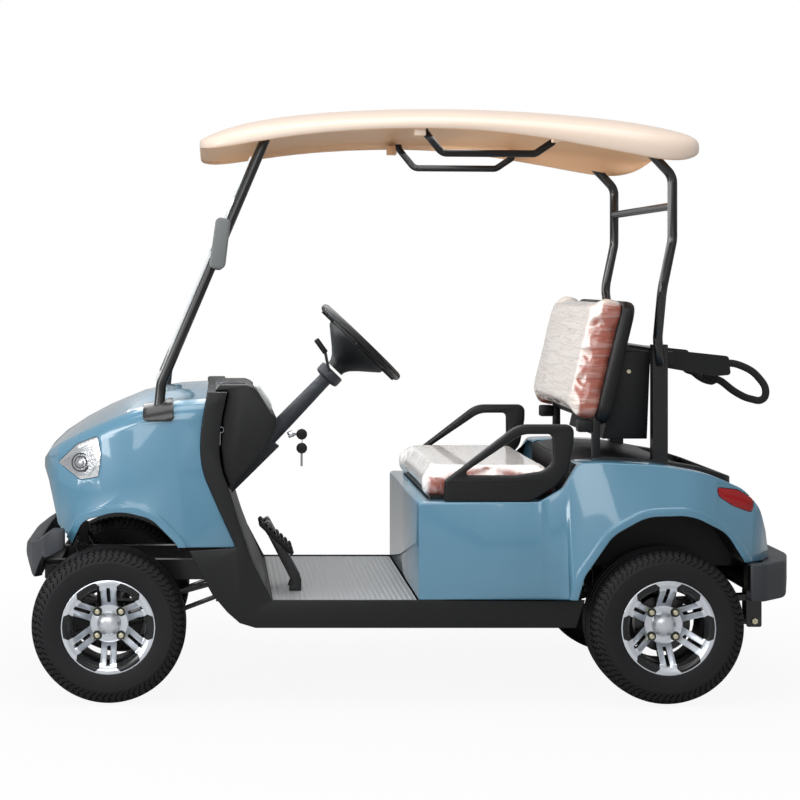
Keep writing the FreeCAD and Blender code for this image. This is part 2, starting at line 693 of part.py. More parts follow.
def cowl_section(x, half, top, drop, radius, crease, bottom, inset=0):
    """One cross-section of the cowl: creased sides, rounded shoulders, crowned top."""
    upper = half - inset - SIDE_LEAN * min(1, (top - drop - radius - crease) / 120)
    half -= inset
    top -= inset
    radius -= inset * 0.5
    edge = top - drop
    turn = radius * (1 - math.cos(math.radians(45)))
    tucked = half - SIDE_TUCK_SLOPE * (crease - bottom)
    low = [V(x, -tucked, bottom), V(x, tucked, bottom)]
    fold = [V(x, -half, crease), V(x, half, crease)]
    side = [V(x, -upper, edge - radius), V(x, upper, edge - radius)]
    crown = [V(x, -upper + radius, edge), V(x, upper - radius, edge)]
    corner = [V(x, -upper + turn, edge - turn), V(x, upper - turn, edge - turn)]
    return Part.Wire([
        Part.LineSegment(low[0], low[1]).toShape(),
        Part.LineSegment(low[1], fold[1]).toShape(),
        Part.LineSegment(fold[1], side[1]).toShape(),
        Part.Arc(side[1], corner[1], crown[1]).toShape(),
        Part.Arc(crown[1], V(x, 0, top), crown[0]).toShape(),
        Part.Arc(crown[0], corner[0], side[0]).toShape(),
        Part.LineSegment(side[0], fold[0]).toShape(),
        Part.LineSegment(fold[0], low[0]).toShape(),
    ])


def cowl_form(inset, deeper):
    """The cowl's solid form, drawn in by inset and reaching lower by deeper."""
    wires = []
    for x, half, top, drop, radius, crease, bottom in COWL_STATIONS:
        place = x + inset if x < 0 else x
        wires.append(cowl_section(place, half, top, drop, radius, crease, bottom - deeper, inset))
    return Part.makeLoft(wires, True, True)


ARCH = [(-132, 380), (-112, 467, 60), (-80, 536, 60), (30, 570, 160), (128, 548, 90), (205, 470, 60), (236, 380)]
LOW_EDGE = 461
LIP_WIDTH = 24
LIP_RISE = 7
LAMP = [(-160, 704, 6), (-98, 765, 40), (-34, 792, 8), (-22, 735, 30), (-30, 668, 12), (-88, 656, 25)]


def behind_border():
    """Everything rearwards of the cowl's rear edge."""
    reach = BODY_HALF + 60
    edges = [line_curve(BORDER, 0, -reach)]
    top_x, top_z = BORDER[0]
    low_x, low_z = BORDER[-1]
    spots = [V(x, -reach, z) for x, z in (
        (low_x, low_z), (low_x + 30, low_z - 120), (700, low_z - 120), (700, top_z + 100),
        (top_x + 18, top_z + 100), (top_x, top_z))]
    for a, b in zip(spots, spots[1:]):
        edges.append(Part.LineSegment(a, b).toShape())
    return Part.Face(Part.Wire(Part.__sortEdges__(edges))).extrude(V(0, 2 * reach, 0))


def ahead_of_riser():
    """Everything ahead of the riser's rear face, with the seat gap."""
    reach = BODY_HALF + 60
    edges = [line_curve(RISER, GAP, -reach)]
    top_x, top_z = RISER[0]
    low_x, low_z = RISER[-1]
    spots = [V(x, -reach, z) for x, z in (
        (low_x + GAP, low_z), (0, low_z), (0, top_z + GAP), (top_x + GAP, top_z + GAP), (top_x + GAP, top_z))]
    for a, b in zip(spots, spots[1:]):
        edges.append(Part.LineSegment(a, b).toShape())
    return Part.Face(Part.Wire(Part.__sortEdges__(edges))).extrude(V(0, 2 * reach, 0))


def arch_lip(arch, outer_form, inner_form):
    """The raised lip round a pair of arches, standing proud of the panel."""
    line = side_face(arch, -FENDER_HALF - 40)
    reach = V(0, 2 * (FENDER_HALF + 40), 0)
    ring = line.makeOffset2D(LIP_WIDTH).extrude(reach).cut(line.extrude(reach))
    return ring.common(outer_form.cut(inner_form))


def front_cowl(outer):
    """The blue cowl: a thin shell with wheel arches, lamp openings and its shaped rear edge."""
    shell = outer.cut(cowl_form(PANEL, 60))
    lip = arch_lip(ARCH, cowl_form(-LIP_RISE, 0), cowl_form(PANEL, 60))
    above_edge = box(-150, 400, -700, 700, LOW_EDGE, 700)
    shell = fused([shell, lip.common(above_edge)])
    shell = shell.cut(behind_border())
    shell = shell.cut(side_prism(ARCH, -BODY_HALF - 60, BODY_HALF + 60))
    shell = shell.cut(box(-300, 500, -700, 700, 300, LOW_EDGE))
    for side in (-1, 1):
        y0, y1 = sorted((side * 330, side * 700))
        shell = shell.cut(side_prism(LAMP, y0, y1))
    return shell


def headlamps(outer):
    """A lamp in each front corner of the cowl, flush with the panel round it."""
    core = outer.cut(cowl_form(30, 60))
    lamps = []
    for side in (-1, 1):
        y0, y1 = sorted((side * 331, side * 700))
        shape = side_face(LAMP, y0)
        shrunk = shape.makeOffset2D(-0.8).extrude(V(0, y1 - y0, 0))
        lamps += core.common(shrunk).Solids
    return lamps


def channel(profile, outer, inner, hollow):
    """A bumper's channel: a side profile crossed with a plan, hollowed by its wall and open inwards."""
    reach = FENDER_HALF
    lows = [p[1] for p in profile]
    low, high = min(lows) - 1, max(lows) + 1
    form = plan_prism(outer, low, high).common(side_prism(profile, -reach, reach))
    core = side_face(profile, -reach).makeOffset2D(-BUMPER_WALL).extrude(V(0, 2 * reach, 0))
    form = form.cut(plan_prism(inner, low, high).common(core))
    return form.cut(plan_prism(hollow, low, high))


def front_bumper(envelope):
    """A moulded channel that wraps the nose, trimmed to clear the tyres on full lock."""
    tip = -FRONT_OVERHANG
    outer = [(-134, -522), (-150, -522, 8), (-190, -508, 40), (-243, -360, 200), (tip, -110, 300), (tip, 110, 300),
             (-243, 360, 200), (-190, 508, 40), (-150, 522, 8), (-134, 522)]
    inner = [(-134, 514), (-149, 514, 5), (-184, 501, 34), (-236, 356, 192), (tip + 7, 107, 292),
             (tip + 7, -107, 292), (-236, -356, 192), (-184, -501, 34), (-149, -514, 5), (-134, -514)]
    hollow = [(-134, 480), (-170, 470, 20), (-213, 340, 120), (tip + 66, 140), (tip + 66, -140),
              (-213, -340, 120), (-170, -470, 20), (-134, -480)]
    profile = [(-130, FRONT_BUMPER_LOW), (-236, FRONT_BUMPER_LOW, 30), (tip, 392, 40), (-272, 442, 30),
               (-214, 470, 40), (-168, FRONT_BUMPER_HIGH, 20), (-130, FRONT_BUMPER_HIGH)]
    shell = channel(profile, outer, inner, hollow)
    dip = [(-440, 530), (-330, BUMPER_DIP), (330, BUMPER_DIP), (440, 530)]
    notch = Part.Face(Part.makePolygon([V(-300, y, z) for y, z in dip + dip[:1]]))
    shell = shell.cut(notch.extrude(V(200, 0, 0)))
    shell = shell.cut(Part.makeCompound(envelope)).cut(cowl_form(-2, 0))
    return max(shell.Solids, key=lambda solid: solid.Volume)


# Rear body

REAR_TOP = [(SEAT_BOX_FRONT, SEAT_BOX_TOP, 12), (1284, SEAT_BOX_TOP, 40), (1358, 640, 60), (1402, 714, 30),
            (1470, 716, 60), (1640, 709, 400), (1790, 682, 300), (1900, 634, 120), (1958, 574, 90), (1990, 500, 60),
            (2020, 412, 20)]
REAR_ARCH = [(1370, 200), (1418, 378, 60), (1500, 500, 110), (1600, 556, 140), (1735, 560, 160), (1845, 504, 110),
             (1905, 412, 60), (1935, 300)]


def rear_form(inset, deeper):
    """The rear body's solid form: side outline crossed with its plan."""
    top = [(p[0] + (inset if i == 0 else 0), p[1] - inset, *p[2:]) for i, p in enumerate(REAR_TOP)]
    top[-2] = (top[-2][0] - inset, top[-2][1], *top[-2][2:])
    top[-1] = (REAR_TOP[-1][0] - inset, SILL_TOP + 60 - deeper)
    outline = [(SEAT_BOX_FRONT + inset, SILL_TOP + GAP - deeper)] + top + [(1890, SILL_TOP + GAP - deeper)]
    side = side_prism(outline, -FENDER_HALF - 20, FENDER_HALF + 20)
    half = BODY_HALF - inset
    flare = FENDER_HALF - inset
    rear = 2032 - inset
    plan_side = [(SEAT_BOX_FRONT - 40 + inset, half), (1320, half, 700), (1480, flare, 700), (1760, flare, 300),
                 (1950, flare - 70, 140), (rear, flare - 240, 160)]
    plan = plan_side + [(x, -y, *r) for x, y, *r in reversed(plan_side)]
    return side.common(plan_prism(plan, SILL_TOP - deeper - 50, 800))


def rear_body():
    """The blue rear body: seat box and fenders as one shell, open over the batteries and the bag well."""
    shell = rear_form(0, 0).cut(rear_form(PANEL, 60))
    lip = arch_lip(REAR_ARCH, rear_form(-LIP_RISE, 0), rear_form(PANEL, 60))
    below_top = side_prism([(1340, SILL_TOP + GAP), (1340, 596), (1990, 596), (1990, SILL_TOP + GAP)], -700, 700)
    shell = fused([shell, lip.common(below_top)])
    shell = shell.cut(side_prism(REAR_ARCH, -700, 700))
    bay = box(SEAT_BOX_FRONT + 40, 1400, -450, 450, SEAT_BOX_TOP - 40, 800)
    well = deck_plan(0, 560)
    seat_well = box(SEAT_BOX_FRONT - 20, 1402, -BODY_HALF + 24, BODY_HALF - 24, SEAT_BOX_TOP, 800)
    tail = box(1870, 2200, -700, 700, 200, REAR_BUMPER_HIGH + 2)
    shell = shell.cut(bay).cut(well).cut(seat_well).cut(tail)
    for side in (-1, 1):
        y0, y1 = sorted((side * 400, side * 700))
        shell = shell.cut(side_prism(TAIL_LAMP, y0, y1))
    return shell


TAIL_LAMP = [(1812, 643, 8), (1880, 634, 60), (1934, 604, 12), (1934, 560, 12), (1866, 584, 60), (1820, 614, 20)]


def tail_lamps():
    """A red lamp at each rear corner, flush with the fender."""
    core = rear_form(0, 0).cut(rear_form(28, 60))
    lamps = []
    for side in (-1, 1):
        y0, y1 = sorted((side * 401, side * 700))
        shrunk = side_face(TAIL_LAMP, y0).makeOffset2D(-0.8).extrude(V(0, y1 - y0, 0))
        lamps += core.common(shrunk).Solids
    return lamps


DECK_LINE = [(1395, 704), (1404, 708, 20), (1500, 722, 80), (1640, 714, 200), (1800, 688, 200), (1905, 656)]
DECK_FRONT = 1395
DECK_WALL = 6


def deck_plan(inset, low):
    """The deck's plan, drawn in by inset and pulled up from low."""
    front, rear = DECK_FRONT + inset, 1900 - inset
    return plan_prism([(front, -420 + inset, 30), (rear, -400 + inset, 60), (rear, 400 - inset, 60),
                       (front, 420 - inset, 30)], low, 800)


def below_deck(shift):
    """Everything below the deck's top line moved up by shift."""
    line = [(p[0], p[1] + shift, *p[2:]) for p in DECK_LINE]
    return side_prism([(DECK_FRONT, 440)] + line + [(1905, 440)], -500, 500)


def rear_deck():
    """The black cover between the fenders with the bag well let into it."""
    form = deck_plan(GAP, 440).common(below_deck(0))
    hollow = deck_plan(DECK_WALL, 430).common(below_deck(-DECK_WALL))
    skirt = box(DECK_FRONT + 8, 1950, -500, 500, 400, 900).common(below_deck(-28))
    skin = form.cut(hollow).cut(skirt).cut(box(1300, 1440, -500, 500, 400, SEAT_BOX_TOP + GAP))
    well_outer = plan_prism([(1730, -330, 40), (1885, -320, 40), (1885, 320, 40), (1730, 330, 40)], 470, 760)
    well_inner = plan_prism([(1734, -326, 36), (1881, -316, 36), (1881, 316, 36), (1734, 326, 36)], 474, 800)
    return fused([skin, well_outer.common(below_deck(0))]).cut(well_inner)


def rear_bumper():
    """The black moulded bumper that wraps the tail."""
    rear = WHEELBASE + REAR_OVERHANG
    outer = [(1915, -566), (1960, -560, 40), (2045, -462, 90), (2088, -300, 200), (rear, -100, 300),
             (rear, 100, 300), (2088, 300, 200), (2045, 462, 90), (1960, 560, 40), (1915, 566)]
    inner = [(1910, -558), (1958, -552, 34), (2038, -457, 84), (2081, -297, 194), (rear - 7, -98, 294),
             (rear - 7, 98, 294), (2081, 297, 194), (2038, 457, 84), (1958, 552, 34), (1910, 558)]
    hollow = [(1900, -510), (1960, -505, 20), (2000, -400, 60), (rear - 104, -230, 200), (rear - 104, 230, 200),
              (2000, 400, 60), (1960, 505, 20), (1900, 510)]
    profile = [(1900, REAR_BUMPER_LOW), (2040, REAR_BUMPER_LOW, 50), (2106, 344, 40), (rear, 384, 16),
               (2092, REAR_BUMPER_HIGH, 14), (1900, REAR_BUMPER_HIGH)]
    return channel(profile, outer, inner, hollow)


def arch_band(arch, y0, y1):
    """A bent sheet that follows an arch's line, half of it behind the panel."""
    line = side_face(arch, y0)
    outer = line.makeOffset2D(LINER_SHEET / 2).extrude(V(0, y1 - y0, 0))
    return outer.cut(line.makeOffset2D(-LINER_SHEET / 2).extrude(V(0, y1 - y0, 0)))


def arch_liners(cowl_inside, fender_inside):
    """The black liners over the wheels: front ones wide enough for the steered tyre."""
    below_front = box(-300, 500, -700, 700, 100, LOW_EDGE - 9)
    below_rear = box(1300, 1885, -700, 700, 100, SILL_TOP + 24)
    behind_rear = box(1885, 2000, -700, 700, 100, REAR_BUMPER_HIGH + 2)
    solids = []
    for side in (-1, 1):
        y0, y1 = sorted((side * 292, side * (BODY_HALF + 30)))
        liner = arch_band(ARCH, y0, y1).cut(below_front)
        solids.append(liner.common(cowl_inside))
        y0, y1 = sorted((side * 372, side * (FENDER_HALF + 30)))
        liner = arch_band(REAR_ARCH, y0, y1).cut(below_rear).cut(behind_rear)
        solids.append(liner.common(fender_inside))
    return solids


# Seat


def seat_board():
    """The board under the cushion; it lifts with it."""
    half = CUSHION_HALF - 8
    z = SEAT_BOX_TOP + GAP
    return box(CUSHION_FRONT + 24, CUSHION_REAR - 6, -half, half, z, z + BOARD_THICKNESS)


def seat_cushion():
    """The bench cushion, softly rounded at its edges."""
    low = SEAT_BOX_TOP + GAP + BOARD_THICKNESS
    side = [(CUSHION_FRONT, low, 10), (CUSHION_REAR, low, 10), (CUSHION_REAR, low + CUSHION_THICKNESS - 8, 24),
            (CUSHION_FRONT + 8, low + CUSHION_THICKNESS, 28)]
    block = side_prism(side, -CUSHION_HALF, CUSHION_HALF)
    plan = [(CUSHION_FRONT - 5, -CUSHION_HALF, 50), (CUSHION_REAR + 5, -CUSHION_HALF, 40),
            (CUSHION_REAR + 5, CUSHION_HALF, 40), (CUSHION_FRONT - 5, CUSHION_HALF, 50)]
    return block.common(plan_prism(plan, low - 5, low + CUSHION_THICKNESS + 5))


BACK_FOOT_X = 1415
BACK_FOOT_Z = 844


def lean(shape):
    """Tilts an upright piece to the backrest's angle about its front foot."""
    shape.rotate(V(BACK_FOOT_X, 0, BACK_FOOT_Z), V(0, 1, 0), BACK_LEAN)
    return shape


def back_cushion():
    """The backrest cushion, standing in its shell."""
    face = [(0, -BACK_HALF, 70), (BACK_HEIGHT, -BACK_HALF + 16, 60), (BACK_HEIGHT, BACK_HALF - 16, 60),
            (0, BACK_HALF, 70)]
    full = [(BACK_FOOT_X, y, BACK_FOOT_Z + z, r) for z, y, r in face]
    pad = Part.Face(rounded_wire(full)).extrude(V(BACK_THICKNESS, 0, 0))
    return lean(pad)


def backrest_shell():
    """The moulded shell behind the back cushion and the two posts that carry it."""
    start = BACK_FOOT_X + BACK_THICKNESS + GAP
    low = -64
    face = [(low, -BACK_HALF + 30, 50), (BACK_HEIGHT - 6, -BACK_HALF + 22, 60), (BACK_HEIGHT - 6, BACK_HALF - 22, 60),
            (low, BACK_HALF - 30, 50)]
    full = [(start, y, BACK_FOOT_Z + z, r) for z, y, r in face]
    shell = lean(Part.Face(rounded_wire(full)).extrude(V(SHELL_THICKNESS, 0, 0)))
    posts = [box(1478, 1506, side * 370 - 14, side * 370 + 14, 640, 815).cut(below_deck(GAP)) for side in (-1, 1)]
    return fused([shell] + posts)


ARM_Y = 540
ARM_WIDTH = 30
ARM_CHAMFER = 5
ARM_OUTER = [(1004, SEAT_BOX_TOP + GAP), (1004, 660, 12), (1222, 828, 90), (1391, 828, 24), (1390, 776, 80),
             (1374, 690, 60), (1338, 645, 50), (1262, SEAT_BOX_TOP + GAP)]
ARM_INNER = [(1052, 676, 8), (1234, 799, 80), (1326, 799, 14), (1327, 712, 30), (1296, 688, 40), (1216, 676, 60)]

def hip_restraints():
    """A moulded loop at each end of the seat, wide at its foot and its rear post."""
    loops = []
    for side in (-1, 1):
        y0, y1 = sorted((side * (ARM_Y - ARM_WIDTH / 2), side * (ARM_Y + ARM_WIDTH / 2)))
        loop = side_prism(ARM_OUTER, y0, y1).cut(side_prism(ARM_INNER, y0 - 1, y1 + 1))
        rims = [edge for edge in loop.Edges if edge.BoundBox.YLength < 0.01 and edge.BoundBox.ZMax > SEAT_BOX_TOP + 1]
        loops.append(loop.makeChamfer(ARM_CHAMFER, rims))
    return loops


# Rear structure

PILLAR_RADIUS = 15
PILLAR_TOP_Y = 500
UPRIGHT_Y = 380
UPRIGHT_SIZE = 46
UPRIGHT_X = 1677


def rear_pillars():
    """Box uprights on the deck, bent tubes up to the roof and the crossbar between them."""
    parts = []
    half = UPRIGHT_SIZE / 2
    for side in (-1, 1):
        y = side * UPRIGHT_Y
        parts.append(box(UPRIGHT_X - half, UPRIGHT_X + half, y - half, y + half, 640, 1062))
        path = [(UPRIGHT_X, side * (UPRIGHT_Y + half - 2), 1000, 0), (UPRIGHT_X - 10, side * (UPRIGHT_Y + 30), 1080, 60),
                (1663, side * PILLAR_TOP_Y, 1229, 90), (1694, side * PILLAR_TOP_Y, 1380, 120),
                (1694, side * PILLAR_TOP_Y, 1572, 55), (1600, side * PILLAR_TOP_Y, 1672, 0)]
        parts.append(tube_path(path, PILLAR_RADIUS))
    parts.append(rod((1694, -PILLAR_TOP_Y, 1482), (1694, PILLAR_TOP_Y, 1482), 12))
    parts.append(box(UPRIGHT_X - 16, UPRIGHT_X + 16, -UPRIGHT_Y, UPRIGHT_Y, 1010, 1050))
    return fused(parts).cut(below_deck(GAP)).cut(above_panel())


def sweater_bin():
    """The open bin that hangs behind the backrest."""
    wall = 5
    half = 330

    def block(inset, low, high):
        rear = UPRIGHT_X - 16 - GAP
        side = [(1512 + inset, low), (1650 - inset, low), (rear - inset, high), (1574 + inset, high)]
        return side_prism(side, -half + inset, half - inset)

    shell = block(0, 770, 1040)
    inner = block(wall, 770 + wall, 1060)
    return shell.cut(inner)


def bag_holder():
    """Brackets and a bar behind the uprights that carry the bag straps."""
    arms = []
    start = UPRIGHT_X + UPRIGHT_SIZE / 2
    for side in (-1, 1):
        y = side * 300
        outline = [(start, 1046, 4), (1905, 1024, 10), (1912, 966, 10), (1860, 962, 10), (start, 990, 4)]
        arms.append(side_prism(outline, y - 15, y + 15))
    arms.append(box(1880, 1908, -300, 300, 975, 1010))
    arms.append(box(start, start + 22, -UPRIGHT_Y, UPRIGHT_Y, 1000, 1040))
    return fused(arms)


def bag_straps():
    """Two webbing loops from the bar, hanging rearwards."""
    loops = []
    for side in (-1, 1):
        y = side * 160
        root = 1908 + GAP
        outer = [(root, 1012, 8), (2010, 985, 40), (2062, 905, 24), (2040, 872, 16), (root, 968, 20)]
        inner = [(1913, 1006, 6), (2006, 980, 36), (2055, 906, 18), (2038, 880, 12), (1913, 974, 16)]
        loops.append(side_prism(outer, y - 25, y + 25).cut(side_prism(inner, y - 30, y + 30)))
    return loops


# Roof, windscreen and pillars

# Stations of the roof from front to rear: x, half width, crown height, edge height, lower edge height
ROOF_STATIONS = [
    (271, 400, 1694, 1684, 1662), (278, 470, 1698, 1684, 1658), (300, 520, 1712, 1688, 1654),
    (350, 556, 1738, 1702, 1656), (450, 578, 1766, 1724, 1672), (640, 585, 1790, 1744, 1700),
    (916, 585, 1801, 1756, 1713), (1150, 585, 1798, 1752, 1702), (1380, 584, 1785, 1736, 1665),
    (1560, 578, 1766, 1714, 1632), (1650, 566, 1752, 1700, 1616), (1720, 544, 1738, 1692, 1614),
    (1768, 500, 1724, 1688, 1630), (1790, 440, 1712, 1684, 1648), (1800, 370, 1702, 1682, 1660),
]

def roof_section(x, half, crown, edge, low, inset, rise):
    """One cross-section of the roof, drawn in by inset with its lower line raised by rise."""
    half -= inset
    crown -= inset
    edge -= inset
    low += rise
    middle = (edge + low) / 2
    points = [V(x, half - 16, low), V(x, half, middle), V(x, half - 18, edge),
              V(x, half * 0.66, edge + (crown - edge) * 0.7), V(x, 0, crown)]
    left = [V(p.x, -p.y, p.z) for p in reversed(points[:-1])]
    ring = points + left
    return Part.makePolygon(ring + [ring[0]])


def roof_form(inset, rise):
    """The roof's solid form through its stations."""
    first, last = ROOF_STATIONS[0], ROOF_STATIONS[-1]
    wires = []
    for x, half, crown, edge, low in ROOF_STATIONS:
        place = x + inset if x == first[0] else x - inset if x == last[0] else x
        wires.append(roof_section(place, half, crown, edge, low, inset, rise))
    return Part.makeLoft(wires, True, True)


def under_line(rise, level):
    """The room between the roof's lower line, raised by rise, and a level."""
    line = [(x, low + rise) for x, _, _, _, low in ROOF_STATIONS]
    outline = [(line[0][0], level)] + line + [(line[-1][0], level)]
    return side_prism(outline, -ROOF_HALF, ROOF_HALF)


def above_panel():
    """Everything above the roof's underside panel, less the running gap."""
    return under_line(PANEL_RECESS - GAP, 1900)


def roof():
    """A crowned canopy with a rounded rim and a ceiling panel set up inside it."""
    outer = roof_form(0, 0)
    inside = box(ROOF_FRONT + 50, ROOF_REAR - 60, -ROOF_HALF, ROOF_HALF, 1500, 1900)
    cavity = roof_form(ROOF_SHEET, PANEL_RECESS + PANEL_SHEET).common(inside)
    recess = under_line(PANEL_RECESS, 1500).common(ceiling_plan(24))
    shell = outer.cut(cavity).cut(recess)
    for x in (560, 1560):
        for side in (-1, 1):
            shell = shell.cut(box(x - 30, x + 30, side * 400 - 8, side * 400 + 8, 1600, 1740))
    return shell


def ceiling_plan(inset):
    """The room inside the roof's rim in plan."""
    sides = [(x, half - inset) for x, half, *_ in ROOF_STATIONS]
    sides[0] = (ROOF_FRONT + inset, sides[0][1])
    sides[-1] = (ROOF_REAR - inset, sides[-1][1])
    return plan_prism(sides + [(x, -y) for x, y in reversed(sides)], 1500, 1900)


GRAB_Y = 480
GRAB_RADIUS = 11


def grab_rails():
    """A bent rail under each long edge of the roof."""
    rails = []
    for side in (-1, 1):
        y = side * GRAB_Y
        path = [(946, y, 1740, 0), (952, y, 1706, 14), (1004, y, 1642, 30), (1284, y, 1640, 30), (1338, y, 1676, 14),
                (1344, y, 1700, 0)]
        rails.append(tube_path(path, GRAB_RADIUS).cut(above_panel()))
    return rails


A_PILLAR_Y = 515
A_PILLAR_RADIUS = 16
A_PILLAR_LOW = (158, 950)
A_PILLAR_TOP = (474, 1694)
WINDSCREEN_HEIGHT = 730
FOOT_PLATE = 9


def front_pillars():
    """The two front tubes with their moulded feet on the cowl and the top crossbar."""
    parts = []
    plate = cowl_form(-FOOT_PLATE, 0)
    for side in (-1, 1):
        y = side * A_PILLAR_Y
        low_x, low_z = A_PILLAR_LOW
        top_x, top_z = A_PILLAR_TOP
        parts.append(tube_path([(149, y, 860, 0), (low_x, y, low_z, 60), (top_x, y, top_z, 0)], A_PILLAR_RADIUS))
        y0, y1 = sorted((side * 480, side * 600))
        foot = side_prism([(102, 838, 14), (106, 940), (190, 940), (196, 838, 14)], y0, y1)
        parts.append(foot.common(plate))
    parts.append(rod((466, -A_PILLAR_Y, 1666), (466, A_PILLAR_Y, 1666), 12))
    return fused(parts).cut(cowl_form(-GAP, 0)).cut(above_panel())


def windscreen():
    """The clear sheet in front of the pillars."""
    low_x, low_z = A_PILLAR_LOW
    top_x, top_z = A_PILLAR_TOP
    angle = math.atan2(top_z - low_z, top_x - low_x)
    half = A_PILLAR_Y + 10
    sheet = Part.makeBox(WINDSCREEN_HEIGHT, 2 * half, 5, V(0, -half, 0))
    sheet.rotate(V(0, 0, 0), V(0, 1, 0), -math.degrees(angle))
    lift = A_PILLAR_RADIUS + GAP
    sheet.translate(V(low_x - lift * math.sin(angle), 0, low_z + lift * math.cos(angle)))
    return sheet


def mirrors():
    """A side mirror on each front pillar: stalk and rounded head."""
    heads = []
    for side in (-1, 1):
        y = side * 570
        outline = [(300, 1296, 16), (348, 1290, 18), (366, 1440, 18), (322, 1448, 16)]
        y0, y1 = sorted((y - 22, y + 22))
        head = side_prism(outline, y0, y1)
        stalk = rod((334, side * (A_PILLAR_Y + A_PILLAR_RADIUS + GAP), 1365), (334, y, 1365), 7)
        heads.append(fused([head, stalk]))
    return heads


# Dash, column and controls


CUP_X = 372
CUP_Y = 445
CUP_RADIUS = 30
DASH_HALF = 536


def dashboard():
    """The moulded dash across the riser, with a cup well at each end and room for the column."""
    outline = [(330, 705), (330, 954, 12), (429, 962, 26), (498, 875, 12), (520, 866, 8), (516, 842, 10),
               (459, 768, 20), (400, 705, 20)]
    block = side_prism(outline, -DASH_HALF, DASH_HALF).cut(ahead_of_riser())
    block = block.cut(rod(along_column(180), along_column(560), SLEEVE_RADIUS + 2))
    for side in (-1, 1):
        block = block.cut(Part.makeCylinder(CUP_RADIUS, 70, V(CUP_X + 25, side * CUP_Y, 892)))
    return block


def along_column(distance):
    """A point on the column's axis, measured down from the steering wheel's centre."""
    angle = math.radians(COLUMN_ANGLE)
    return (WHEEL_CENTRE_X - distance * math.cos(angle), COLUMN_Y, WHEEL_CENTRE_Z - distance * math.sin(angle))


def steering_column():
    """The column with its lower sleeve, upper clamp and switch stalk."""
    parts = [
        rod(along_column(HUB_DEPTH + GAP), along_column(520), COLUMN_RADIUS),
        rod(along_column(HUB_DEPTH + GAP), along_column(158), 34),
        rod(along_column(300), along_column(528), SLEEVE_RADIUS),
    ]
    foot = box(340, 430, COLUMN_Y - 26, COLUMN_Y + 26, 656, 690)
    parts.append(foot.cut(ahead_of_riser()))
    clamp = V(*along_column(140))
    parts.append(rod((clamp.x - 10, COLUMN_Y - 15, clamp.z + 10), (643, COLUMN_Y - 70, 1066), 5))
    return fused(parts)


def steering_wheel():
    """Grip ring, three spokes and the deep hub, turned about the column's axis."""
    radius = STEERING_WHEEL_DIAMETER / 2 - GRIP_RADIUS
    section = [(GRIP_RADIUS * math.sin(math.pi * i / 5), radius + GRIP_RADIUS * math.cos(math.pi * i / 5))
               for i in range(10)]
    ring = facet_ring(section, (0, 0, 0), RIM_SIDES)
    ring.rotate(V(0, 0, 0), V(1, 0, 0), 90)
    hub = facet_disc(30, -HUB_DEPTH, -78, HUB_SIDES, 26)
    boss = facet_disc(80, -78, -30, HUB_SIDES, 30)
    pad = facet_disc(62, -30, 2, HUB_SIDES, 80)
    parts = [ring, fused([hub, boss, pad])]
    for angle in (0, 180, 270):
        spoke = Part.makeBox(radius - 50, 34, 12, V(50, -17, -18))
        spoke.rotate(V(0, 0, 0), V(0, 0, 1), angle)
        parts.append(spoke)
    shape = fused(parts)
    shape.rotate(V(0, 0, 0), V(0, 1, 0), 90 - COLUMN_ANGLE)
    shape.translate(V(WHEEL_CENTRE_X, COLUMN_Y, WHEEL_CENTRE_Z))
    return shape


def pedals():
    """Accelerator and brake pedals on slanted arms from a floor bracket."""
    solids = []
    foot = FLOOR_Z + MAT_THICKNESS + GAP
    for y in (-330, -215):
        line = [(468, 500, 8), (490, 512, 8), (585, 340, 6), (585, foot, 4), (545, foot, 4), (556, 330, 6)]
        arm = side_prism(line, y - 10, y + 10)
        pad = side_prism([(462, 505, 4), (486, 520, 8), (530, 440, 8), (512, 428, 4)], y - 34, y + 34)
        solids.append(fused([arm, pad]))
    return solids


def main():
    os.makedirs("parts", exist_ok=True)
    envelope = steer_envelope()
    cowl_solid = cowl_form(0, 0)
    save("chassis_frame", *chassis_frame())
    save("floor_tray", floor_tray())
    save("floor_mat", floor_mat())
    save("front_cowl", front_cowl(cowl_solid))
    save("dashboard", dashboard())
    save("headlamps", *headlamps(cowl_solid))
    save("front_bumper", front_bumper(envelope))
    save("rear_body", rear_body())
    save("rear_deck", rear_deck())
    save("rear_bumper", rear_bumper())
    save("tail_lamps", *tail_lamps())
    save("arch_liners", *arch_liners(cowl_form(PANEL + GAP, 120), rear_form(PANEL + GAP, 60)))
    save("battery_pack", battery_pack())
    save("front_axle", front_axle())
    save("front_suspension", *front_suspension())
    save("rear_axle", rear_axle())
    save("rear_suspension", *rear_suspension())
    save("seat_board", seat_board())
    save("hip_restraints", *hip_restraints())
    save("seat_cushion", seat_cushion())
    save("back_cushion", back_cushion())
    save("backrest_shell", backrest_shell())
    save("rear_pillars", rear_pillars())
    save("sweater_bin", sweater_bin())
    save("bag_holder", bag_holder())
    save("bag_straps", *bag_straps())
    save("roof", roof())
    save("grab_rails", *grab_rails())
    save("front_pillars", front_pillars())
    save("windscreen", windscreen())
    save("mirrors", *mirrors())
    save("steering_column", steering_column())
    save("steering_wheel", steering_wheel())
    save("pedals", *pedals())
    left = knuckle()
    save("left_knuckle", left)
    save("right_knuckle", mirrored(left))
    save("tie_rod", tie_rod())
    for name, centre, side in wheel_places():
        save(f"{name}_wheel", wheel(centre, side))
        save(f"{name}_tyre", tyre(centre))


main()
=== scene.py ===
import math

